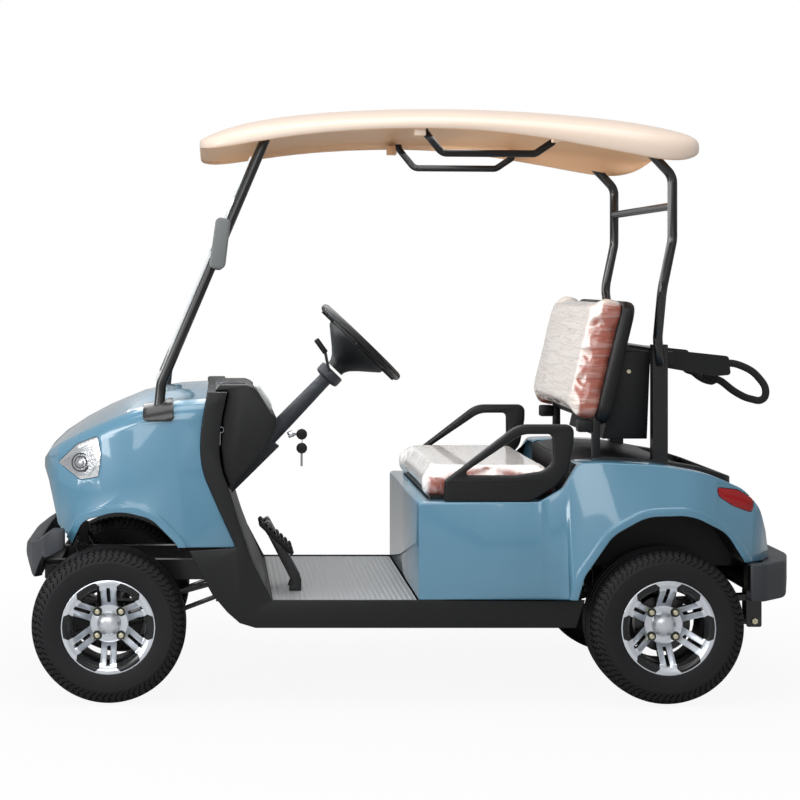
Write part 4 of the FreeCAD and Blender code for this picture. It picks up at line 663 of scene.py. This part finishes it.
def road_tyre(name, centre):
    """A road tyre: rounded shoulders with slanted sipes and four grooves round the tread."""
    half = [(0.0, 0.2265), (0.006, 0.2265), (0.0075, 0.2325), (0.031, 0.2324), (0.0325, 0.2255), (0.038, 0.2255),
            (0.0395, 0.2318), (0.060, 0.2308), (0.0655, 0.2302), (0.079, 0.2270), (0.0885, 0.2200), (0.0945, 0.2105),
            (0.0985, 0.1975), (0.1000, 0.1935), (0.1022, 0.1920), (0.1023, 0.1800), (0.1012, 0.1660),
            (0.0988, 0.1535), (0.0966, 0.1448), (0.0956, 0.1440), (0.0925, 0.1385), (0.0900, 0.1335)]
    profile = [(-a, r) for a, r in reversed(half[1:])] + half
    tyre = spun(name, profile, centre, SIPE_COUNT * SIPE_STEPS)
    x, y, z = centre
    open_edit(tyre)
    # The shoulders lean round the axle so that their sipes slant
    for low, high, turn in ((0.0640, 0.0670, 0.4), (0.0780, 0.0800, 1.3),
                            (0.0875, 0.0895, 2.4), (0.0935, 0.0955, 3.4)):
        for side in (-1, 1):
            pick("VERT", lambda co, _: low < side * (co.y - y) < high
                 and math.hypot(co.x - x, co.z - z) > TREAD_RADIUS)
            bpy.ops.transform.rotate(value=math.radians(turn * side), orient_axis="Y", center_override=centre)
    step = 2 * math.pi / SIPE_COUNT

    def sipe(co, _):
        """Says whether a face of the shoulder is the floor of a sipe."""
        across = abs(co.y - y)
        if not SHOULDER[0] < across < SHOULDER[1] or math.hypot(co.x - x, co.z - z) < TREAD_RADIUS:
            return False
        lean = ROW_LEAN[min(2, int((across - SHOULDER[0]) / 0.0105))]
        angle = math.atan2(co.x - x, co.z - z) - math.radians(lean) * (1 if co.y > y else -1)
        return (angle % step) / step < 0.333

    pick("FACE", sipe)
    bpy.ops.mesh.extrude_region_shrink_fatten(TRANSFORM_OT_shrink_fatten={"value": -SIPE_DEPTH})
    close_edit()
    smooth(tyre, 32)
    return tyre


def lug_nut(name, centre, side):
    """A hexagonal nut with the end of its stud, seated in a pocket of the hub."""
    x, y, z = centre
    nut = disc(name, (x, y + side * 0.009, z), 0.0085, 0.018, sides=6)
    ease(nut, 0.0015)
    stud = disc(name + "_stud", (x, y + side * 0.0195, z), 0.0052, 0.006, sides=16)
    return joined([nut, stud], name)


def centre_cap(name, centre, side):
    """A plain domed cap."""
    x, y, z = centre
    profile = [(0.0, 0.0360), (0.012, 0.0358), (0.018, 0.0342), (0.0235, 0.0305), (0.028, 0.0245),
               (0.0315, 0.0165), (0.0332, 0.0085), (0.0338, 0.0001)]
    cap = spun(name, [(side * a, r) for a, r in profile], (x, y, z), 48)
    smooth(cap, 80)
    return cap


first_corner, first_x, first_y, _ = WHEELS[0]
first_tyre = road_tyre(first_corner + "_road_tyre", (first_x, first_y, AXLE_Z))
for corner, axle_x, track_y, side in WHEELS:
    body = corner + "_wheel"
    hub_y = track_y + side * HUB_FACE
    tyre = first_tyre
    if corner != first_corner:
        tyre = copied(first_tyre, corner + "_road_tyre", (axle_x - first_x, track_y - first_y, 0))
    finish_piece(tyre, body, RUBBER, [corner + "_tyre"])
    cap = centre_cap(corner + "_centre_cap", (axle_x, hub_y, AXLE_Z), side)
    finish_piece(cap, body, POLISHED)
    nuts, pockets = [], []
    for i in range(4):
        angle = math.radians(45 + 90 * i)
        spot = (axle_x + NUT_CIRCLE_RADIUS * math.cos(angle), hub_y - side * 0.006,
                AXLE_Z + NUT_CIRCLE_RADIUS * math.sin(angle))
        nuts.append(lug_nut(corner + "_lug_nut_" + str(i), spot, side))
        pockets.append(disc(corner + "_pocket", (spot[0], hub_y + side * 0.0002, spot[2]), 0.0145, 0.002, sides=28))
    finish_piece(joined(pockets, corner + "_lug_pockets"), body, BLACK_STEEL)
    finish_piece(joined(nuts, corner + "_lug_nuts"), body, ZINC)


# Cushions


CLOTH_FRAMES = 20
COVER_PRESSURE = 4.0
VOXEL = 0.006


def puffed(piece, cap):
    """Fills a closed pad like foam under its cover: remeshed, inflated, held to its size and smoothed."""
    modify(piece, "REMESH", mode="VOXEL", voxel_size=VOXEL)
    rest = [vert.co.copy() for vert in piece.data.vertices]
    cloth = piece.modifiers.new("cover", "CLOTH")
    cloth.settings.use_pressure = True
    cloth.settings.uniform_pressure_force = COVER_PRESSURE
    cloth.settings.effector_weights.gravity = 0.0
    cloth.settings.quality = 5
    cloth.point_cache.frame_start = 1
    cloth.point_cache.frame_end = CLOTH_FRAMES
    for step in range(1, CLOTH_FRAMES + 1):
        bpy.context.scene.frame_set(step)
    choose(piece)
    bpy.ops.object.modifier_apply(modifier="cover")
    for vert, start in zip(piece.data.vertices, rest):
        move = vert.co - start
        if move.length > cap:
            vert.co = start + move.normalized() * cap
    modify(piece, "SMOOTH", factor=0.5, iterations=8)
    modify(piece, "SUBSURF", levels=1)
    smooth(piece, 60)


def pad_block(name, low, high, corner, edge, along):
    """A block with its four edges along one axis rounded and all others softened."""
    pad = block(name, low, high)
    open_edit(pad)
    pick("EDGE", lambda co, e: abs((e.verts[0].co - e.verts[1].co).normalized()[along]) > 0.9)
    bpy.ops.mesh.bevel(offset=corner, segments=5)
    close_edit()
    modify(pad, "BEVEL", width=edge, segments=4, limit_method="ANGLE", angle_limit=math.radians(40),
           use_clamp_overlap=False)
    return pad


# How far the simulated covers may move
PUFF_CAP = 0.024
SEAT_LOW, SEAT_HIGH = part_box("seat_cushion")
BACK_FOOT = Vector(at(1405, 0, 840))
BACK_LEAN = math.radians(13.5)


def back_slab(name, near, far, half_width, foot, top, corner, edge):
    """A slab of the backrest, drawn upright: its faces' distances behind the backrest's foot, then its heights."""
    return pad_block(name, (BACK_FOOT.x + near, -half_width, BACK_FOOT.z + foot),
                     (BACK_FOOT.x + far, half_width, BACK_FOOT.z + top), corner, edge, along=0)


def lean_back(piece):
    """Turns an upright piece back about the backrest's foot."""
    open_edit(piece)
    bpy.ops.mesh.select_all(action="SELECT")
    bpy.ops.transform.rotate(value=-BACK_LEAN, orient_axis="Y", center_override=BACK_FOOT)
    close_edit()


seat = pad_block("seat_pad", (SEAT_LOW.x - 0.010, SEAT_LOW.y + 0.005, SEAT_LOW.z + 0.001),
                 (SEAT_HIGH.x - 0.006, SEAT_HIGH.y - 0.005, SEAT_HIGH.z - 0.008), 0.05, 0.022, along=2)
puffed(seat, PUFF_CAP)
finish_piece(seat, "seat_lid", SEAT_LEATHER, ["seat_cushion"])

back = back_slab("back_pad", 0.006, 0.068, 0.448, -0.004, 0.390, 0.045, 0.018)
puffed(back, PUFF_CAP)
lean_back(back)
finish_piece(back, "root", BACK_LEATHER, ["back_cushion"])

# The moulded shell behind the back cushion, its posts and the small blocks under its corners

shell = back_slab("backrest_tray", 0.067, 0.110, 0.444, 0.002, 0.384, 0.055, 0.016)
lean_back(shell)
smooth(shell, 40)
supports = [shell]
for side in (-1, 1):
    for low, high, width in (((1468, 386, 604), (1492, 414, 900), 0.003),
                             ((1422, 378, 796), (1468, 420, 834), 0.006)):
        (x0, inner_y, z0), (x1, outer_y, z1) = at(*low), at(*high)
        ends = sorted((inner_y * side, outer_y * side))
        post = block("backrest_post", (x0, ends[0], z0), (x1, ends[1], z1))
        ease(post, width)
        supports.append(post)
finish_piece(joined(supports, "backrest_tray"), "root", BLACK_PLASTIC, ["backrest_shell"])


# Steering details

COLUMN_TURN = math.radians(46)
WHEEL_CENTRE = Vector(at(772, -265, 1066))
DOWN_COLUMN = Vector((-math.cos(COLUMN_TURN), 0, -math.sin(COLUMN_TURN)))
OFF_COLUMN = Vector((-math.sin(COLUMN_TURN), 0, math.cos(COLUMN_TURN)))


def turned(name, profile):
    """A solid turned about the steering column: (distance below the wheel's plane, radius) pairs."""
    piece = new_piece(name)
    chain([WHEEL_CENTRE + DOWN_COLUMN * a + OFF_COLUMN * r for a, r in profile])
    bpy.ops.mesh.select_all(action="SELECT")
    bpy.ops.mesh.spin(steps=48, angle=2 * math.pi, center=WHEEL_CENTRE, axis=DOWN_COLUMN)
    tidy_mesh()
    close_edit()
    smooth(piece, 40)
    return piece


def bar(name, start, end, radius, sides=16):
    """A straight round bar between two points."""
    start, end = Vector(start), Vector(end)
    bpy.ops.object.select_all(action="DESELECT")
    bpy.ops.mesh.primitive_cylinder_add(vertices=sides, radius=radius, depth=(end - start).length,
                                        location=(start + end) / 2,
                                        rotation=(end - start).to_track_quat("Z", "Y").to_euler())
    return placed(name)


fairing = turned("steering_fairing", [
    (0.006, 0.0001), (0.006, 0.100), (0.012, 0.110), (0.020, 0.112), (0.028, 0.108), (0.050, 0.082), (0.072, 0.056),
    (0.090, 0.038), (0.104, 0.030), (0.116, 0.028), (0.116, 0.0001)])
finish_piece(fairing, "steering_wheel", BLACK_PLASTIC)

collar = turned("column_clamp", [
    (0.124, 0.0001), (0.124, 0.036), (0.127, 0.041), (0.152, 0.041), (0.157, 0.036), (0.160, 0.024), (0.160, 0.0001)])
finish_piece(collar, "root", GREY_PLASTIC)
column_tube = turned("column_tube", [
    (0.158, 0.0001), (0.158, 0.0215), (0.300, 0.0245), (0.420, 0.0265), (0.500, 0.0275), (0.506, 0.0300),
    (0.560, 0.0320), (0.606, 0.0320), (0.606, 0.0001)])
column_brace = plate("column_brace", side_points(((462, 783), (518, 744), (372, 600), (341, 637))), -0.291, -0.239)
stalk = bar("stalk", at(672, -300, 976), at(658, -335, 1038), 0.0045)
column = joined([column_tube, column_brace, stalk], "column_tube")
finish_piece(column, "root", GREY_PLASTIC, ["steering_column"])
knob = bar("stalk_knob", at(660, -335, 1035), at(630, -335, 1077), 0.0085)
ease(knob, 0.003, 3)
finish_piece(knob, "root", BLACK_PLASTIC)


def key_head(name, centre):
    """The moulded head of a key: a rounded tab."""
    head = disc(name, centre, 0.0175, 0.010, sides=10)
    ease(head, 0.003, 3, 20)
    return head


# The keys hang beside the column, all at one place across the cart

KEY_Y = -285
lock = bar("ignition_lock", at(545, KEY_Y, 778), at(562, KEY_Y, 784), 0.010)
ease(lock, 0.0015)
finish_piece(lock, "root", CHROME)
key_blades = joined([
    block("key_blade", at(558, KEY_Y - 1.5, 777), at(580, KEY_Y + 1.5, 785)),
    block("spare_key_blade", at(584, KEY_Y - 1.5, 682), at(591, KEY_Y + 1.5, 726))], "key_blades")
key_ring = bar("key_ring", at(590, KEY_Y, 772), at(588.5, KEY_Y, 748), 0.0012, 8)
finish_piece(joined([key_blades, key_ring], "key_metal"), "root", CHROME)
key_heads = joined([key_head("key_head", at(588, KEY_Y, 781)), key_head("spare_key_head", at(588, KEY_Y, 738))],
                   "key_heads")
finish_piece(key_heads, "root", BLACK_PLASTIC)

# Dashboard: one moulding, higher on the driver's side, with a slope for the instruments and two cup wells

DASH_END_Y = 0.530
HIGH_SIDE = ((318, 925), (324, 938), (336, 946), (415, 946), (432, 940), (446, 926), (486, 862), (503, 850),
             (503, 822), (470, 752), (392, 672), (368, 634), (366, 628), (343, 688), (334, 765), (342, 850), (357, 925))
LOW_SIDE = ((318, 895), (326, 908), (340, 916), (412, 916), (430, 908), (446, 890), (478, 850), (480, 822),
            (460, 752), (388, 672), (366, 634), (364, 628), (343, 688), (334, 765), (340, 850))
dash = plate("dashboard_moulding", side_points(HIGH_SIDE), -DASH_END_Y, -0.060)
dash_right = plate("dashboard_right", side_points(LOW_SIDE), -0.100, DASH_END_Y)
modify(dash, "BOOLEAN", operation="UNION", object=dash_right, solver="EXACT")
bpy.data.objects.remove(dash_right)
WELLS = (372, -445, 946), (372, 445, 916)
for x, y, top in WELLS:
    well = disc("cup_well", at(x, y, top - 30), 0.033, 0.130, "Z", sides=40)
    modify(dash, "BOOLEAN", operation="DIFFERENCE", object=well, solver="EXACT")
    bpy.data.objects.remove(well)
ease(dash, 0.006, 3, 24)
finish_piece(dash, "root", BLACK_PLASTIC, ["dashboard"])

# The instrument pod's cover, a moulding that stands on the slope of the dashboard

POD_TOP, POD_FOOT = Vector(at(434, 0, 934)), Vector(at(492, 0, 858))
pod_line = (POD_FOOT - POD_TOP).normalized()
pod_out = Vector((-pod_line.z, 0, pod_line.x))
pod = plate("instrument_cover", [
    (point.x, point.z) for point in (
        POD_TOP - pod_out * 0.006, POD_TOP + pod_line * 0.004 + pod_out * 0.010,
        POD_TOP + pod_line * 0.020 + pod_out * 0.016, POD_FOOT - pod_line * 0.020 + pod_out * 0.014,
        POD_FOOT - pod_line * 0.002 + pod_out * 0.006, POD_FOOT - pod_out * 0.006)], -0.345, -0.185)
ease(pod, 0.005, 3, 20)
finish_piece(pod, "root", STRIP_GREY)

# Rims round the cup wells, and the hooks for a net at the dashboard's ends

cup_rims = []
for place in WELLS:
    cup_rims.append(ring("cup_rim", 0.036, 0.004, (48, 10), at(*place)))
    smooth(cup_rims[-1], 50)
finish_piece(joined(cup_rims, "cup_rims"), "root", GREY_PLASTIC)
hooks = []
for y in (-539, 539):
    hooks.append(ring("hook_eye", 0.008, 0.0014, (24, 8), at(336, y, 812), (math.pi / 2, 0, 0)))
    hooks.append(bar("hook_pin", at(334, y, 804), at(333, y, 766), 0.002, 10))
finish_piece(joined(hooks, "net_hooks"), "root", CHROME)

# Pedals: ribbed rubber pads over the steel plates

PAD_TOP, PAD_FOOT = Vector(at(452, 0, 508)), Vector(at(553, 0, 414))
pad_line = (PAD_FOOT - PAD_TOP).normalized()
pad_out = Vector((-pad_line.z, 0, pad_line.x))
half = 0.040
for name, y in (("accelerator", -0.215), ("brake", -0.330)):
    corners = [PAD_TOP, PAD_TOP + pad_out * 0.014, PAD_FOOT + pad_out * 0.014, PAD_FOOT]
    parts = [plate(name + "_pad", [(p.x, p.z) for p in corners], y - half, y + half)]
    ease(parts[0], 0.004, 2)
    for i in range(7):
        rib = PAD_TOP + pad_line * (0.014 + i * 0.0175)
        ends = [rib + pad_out * 0.012, rib + pad_out * 0.019, rib + pad_out * 0.019 + pad_line * 0.008,
                rib + pad_out * 0.012 + pad_line * 0.008]
        parts.append(plate(name + "_rib", [(p.x, p.z) for p in ends], y - half + 0.006, y + half - 0.006))
    finish_piece(joined(parts, name + "_cover"), "root", RUBBER)

# Inner walls of the rear wheel houses

WALL = ((1424, 386), (1500, 498), (1600, 554), (1735, 558), (1843, 503), (1898, 424), (1898, 386))
walls = [plate("inner_fender", side_points(WALL), y0, y1) for y0, y1 in ((-0.376, -0.373), (0.373, 0.376))]
finish_piece(joined(walls, "inner_fenders"), "root", BLACK_PLASTIC)

# Headlamp details: two dark rings in each reflector and its bulb

LAMP_CENTRE, LAMP_FACE = Vector(at(-84, -478, 709)), Vector((-0.22, -0.95, 0.20)).normalized()
lamp_parts = []
LAMP_TURN = LAMP_FACE.to_track_quat("Z", "Y").to_euler()
for radius, thickness, lift in ((0.027, 0.0022, 0.008), (0.018, 0.0016, 0.010)):
    lamp_parts.append(ring("lamp_ring", radius, thickness, (40, 8), LAMP_CENTRE + LAMP_FACE * lift, LAMP_TURN))
    smooth(lamp_parts[-1], 50)
lamp_rings = joined(lamp_parts, "left_lamp_rings")
right_rings = copied(lamp_rings, "right_lamp_rings", mirror=True)
finish_piece(joined([lamp_rings, right_rings], "lamp_rings"), "root", GREY_PLASTIC)
bpy.ops.object.select_all(action="DESELECT")
bpy.ops.mesh.primitive_uv_sphere_add(segments=24, ring_count=12, radius=0.012, location=LAMP_CENTRE)
bulb = placed("left_bulb")
smooth(bulb, 50)
far_bulb = copied(bulb, "right_bulb", mirror=True)
finish_piece(joined([bulb, far_bulb], "lamp_bulbs"), "root", REFLECTOR)

# Roof: a hollow canopy skinned over its cross-sections (along, half width, crown, edge and lowest height)

SKIN_THICKNESS = 26
STATIONS = (
    (271, 400, 1694, 1684, 1664), (277, 470, 1699, 1685, 1658), (300, 522, 1713, 1690, 1654),
    (350, 556, 1736, 1704, 1656), (450, 578, 1764, 1726, 1672), (640, 585, 1789, 1746, 1700),
    (916, 586, 1801, 1757, 1713), (1150, 586, 1798, 1753, 1704), (1380, 584, 1785, 1737, 1668),
    (1560, 578, 1767, 1716, 1634), (1650, 566, 1753, 1703, 1617), (1720, 544, 1738, 1693, 1615),
    (1768, 500, 1724, 1688, 1630), (1790, 440, 1712, 1684, 1648), (1799, 370, 1702, 1682, 1662))


def canopy_section(x, half, crown, edge, low):
    """One closed cross-section of the canopy, from the crown down the left side and back."""
    drop = crown - edge
    outer = [(0.0, crown), (0.35, crown - 0.10 * drop), (0.65, crown - 0.36 * drop), (0.86, crown - 0.74 * drop),
             (0.95, edge - 3), (0.985, edge - 0.3 * (edge - low)), (1.0, edge - 0.6 * (edge - low)),
             (0.997, low + 4), (0.985, low), (0.965, low + 2)]
    ceiling = [(0.955, low + 0.4 * (edge - low)), (0.94, edge - 24), (0.86, crown - 0.74 * drop - SKIN_THICKNESS),
               (0.65, crown - 0.36 * drop - SKIN_THICKNESS), (0.35, crown - 0.10 * drop - SKIN_THICKNESS),
               (0.0, crown - SKIN_THICKNESS)]
    inner = [(y, max(z, low + 3)) for y, z in ceiling]
    near = outer + inner
    far = [(-y, z) for y, z in reversed(near[1:-1])]
    return [at(x, y * half, z) for y, z in near + far]


canopy = lofted("canopy", [canopy_section(*station) for station in STATIONS], closed=True)
for x in (STATIONS[0][0], STATIONS[-1][0]):
    end = at(x, 0, 0)[0]
    pick("EDGE", lambda co, _: abs(co.x - end) < 0.0005)
    bpy.ops.mesh.edge_face_add()
    bpy.ops.mesh.poke()
tidy_mesh()
close_edit()
modify(canopy, "SUBSURF", levels=2)
smooth(canopy, 80)
finish_piece(canopy, "root", CANOPY, ["roof"])
rail_blocks = []
for y0, y1 in ((-560, -528), (528, 560)):
    for x, z in ((931, 1706), (1342, 1686)):
        rail_blocks.append(block("rail_block", at(x - 17, y0, z - 16), at(x + 17, y1, z + 16)))
        ease(rail_blocks[-1], 0.004)
finish_piece(joined(rail_blocks, "rail_blocks"), "root", CANOPY)

# Bag straps: two soft webbing loops, the near one hanging open behind its holder

LOOP = ((1868, 972), (1930, 996), (1991, 984), (2037, 950), (2059, 906), (2048, 882), (2013, 883), (1965, 904),
        (1920, 938))
HUNG_FROM = LOOP[0]
straps = []
for y, shrink in ((-0.150, 1.0), (0.150, 0.5)):
    data = bpy.data.curves.new("strap", "CURVE")
    data.dimensions = "2D"
    line = data.splines.new("BEZIER")
    line.bezier_points.add(len(LOOP) - 1)
    for knot, (x, z) in zip(line.bezier_points, LOOP):
        spot = at(HUNG_FROM[0] + (x - HUNG_FROM[0]) * shrink, 0, HUNG_FROM[1] + (z - HUNG_FROM[1]) * shrink)
        knot.co = (spot[0], spot[2], 0)
        knot.handle_left_type = knot.handle_right_type = "AUTO"
    line.use_cyclic_u = True
    data.fill_mode = "NONE"
    data.extrude = 0.004
    data.bevel_depth = 0.0115
    data.bevel_resolution = 2
    data.resolution_u = 10
    holder = bpy.data.objects.new("strap_line", data)
    bpy.context.scene.collection.objects.link(holder)
    holder.rotation_euler = (math.radians(90), 0, 0)
    holder.location = (0, y, 0)
    holder.scale = (1, 1, 0.4)
    choose(holder)
    bpy.ops.object.convert(target="MESH")
    bpy.ops.object.transform_apply(location=True, rotation=True, scale=True)
    straps.append(bpy.context.object)
    open_edit(straps[-1])
    tidy_mesh()
    close_edit()
    smooth(straps[-1], 50)
finish_piece(joined(straps, "webbing_loops"), "root", WEBBING, ["bag_straps"])

# Fasteners with bright heads

bolts = []
for side in (-1, 1):
    for x, z in ((1970, 288), (1970, 216), (1330, 318)):
        bolts.append(disc("spring_bolt", at(x, side * 382, z), 0.0095, 0.008, sides=6))
    for x, y, z in ((1500, 401, 998), (1560, 517, 985)):
        bolts.append(disc("frame_bolt", at(x, side * y, z), 0.006, 0.004, sides=16))
finish_piece(joined(bolts, "bright_bolts"), "root", ZINC)


# Camera

camera_data = bpy.data.cameras.new("camera")
camera = bpy.data.objects.new("camera", camera_data)
bpy.context.scene.collection.objects.link(camera)
# The photo's frame, and in its pixels the focal length and where the lines across the cart meet
FRAME = 800
FOCAL_LENGTH = 2298
MEETING_POINT = (212, 277)
camera_data.sensor_width = 36.0
camera_data.lens = FOCAL_LENGTH / FRAME * 36.0
camera.location = (-0.6068, -7.410, 1.2765)
camera.rotation_euler = (math.radians(90), 0.0, 0.0)
camera_data.shift_x = (FRAME / 2 - MEETING_POINT[0]) / FRAME
camera_data.shift_y = (MEETING_POINT[1] - FRAME / 2) / FRAME
bpy.context.scene.camera = camera


# Stage and light


def stage_floor():
    """A pale floor that keeps the soft shadow near the cart and fades to white further out."""
    bpy.ops.mesh.primitive_plane_add(size=60, location=(0, 0, -0.0005))
    floor = placed("stage_floor")
    material, tree, output, place = patterned("stage_paper")
    spread = add(tree, "ShaderNodeVectorMath", {"operation": "LENGTH"}, {0: place["Object"]})
    fade = add(tree, "ShaderNodeMapRange", {"From Min": 1.2, "From Max": 2.6, "To Min": 0.92, "To Max": 1.0},
               {"Value": spread.outputs["Value"]})
    path = add(tree, "ShaderNodeLightPath")
    seen = add(tree, "ShaderNodeMath", {"operation": "MULTIPLY"},
               {0: fade.outputs["Result"], 1: path.outputs["Is Camera Ray"]})
    paper = add(tree, "ShaderNodeBsdfDiffuse", {"Color": (0.5, 0.5, 0.5, 1)})
    glow = add(tree, "ShaderNodeEmission", {"Color": (1, 1, 1, 1), "Strength": 1.0})
    mix = add(tree, "ShaderNodeMixShader", links={0: seen.outputs[0], 1: paper.outputs[0], 2: glow.outputs[0]})
    tree.links.new(mix.outputs[0], output.inputs["Surface"])
    floor.data.materials.append(material)


def lamp(name, place, target, size, power):
    """A soft oblong lamp aimed at a point, itself unseen by the camera."""
    data = bpy.data.lights.new(name, "AREA")
    data.shape = "RECTANGLE"
    data.size, data.size_y = size
    data.energy = power
    light = bpy.data.objects.new(name, data)
    light.location = place
    light.rotation_euler = (Vector(target) - Vector(place)).to_track_quat("-Z", "Y").to_euler()
    light.visible_camera = False
    bpy.context.scene.collection.objects.link(light)


def world_light():
    """An even pale sky, white where the camera sees it, also through a clear sheet."""
    world = bpy.data.worlds.new("sky")
    bpy.context.scene.world = world
    world.use_nodes = True
    tree = world.node_tree
    tree.nodes.clear()
    path = add(tree, "ShaderNodeLightPath")
    seen = add(tree, "ShaderNodeMath", {"operation": "MAXIMUM"},
               {0: path.outputs["Is Camera Ray"], 1: path.outputs["Is Transmission Ray"]})
    strength = add(tree, "ShaderNodeMapRange", {"To Min": 0.5, "To Max": 1.0}, {"Value": seen.outputs[0]})
    back = add(tree, "ShaderNodeBackground", {"Color": (1, 1, 1, 1)}, {"Strength": strength.outputs["Result"]})
    add(tree, "ShaderNodeOutputWorld", links={"Surface": back.outputs[0]})


stage_floor()
world_light()
# Each lamp's place, the point that it lights, its size and its power in watts
for name, place, target, size, power in (
        ("overhead", (0.0, -1.2, 5.0), (0, 0, 0.6), (5.0, 3.5), 150),
        ("front_side", (-4.2, -2.6, 2.2), (0.3, 0, 0.7), (2.5, 2.0), 110),
        ("seat_fill", (-0.85, -0.1, 1.25), (0.5, 0, 0.85), (0.7, 0.5), 4.5),
        ("cabin_fill", (-0.2, 0.0, 1.62), (0.15, 0, 0.5), (1.0, 0.9), 14),
        ("camera_side", (-1.5, -6.0, 3.2), (0, 0, 0.8), (4.0, 3.0), 110)):
    lamp(name, place, target, size, power)
bpy.context.scene.view_settings.view_transform = "Standard"
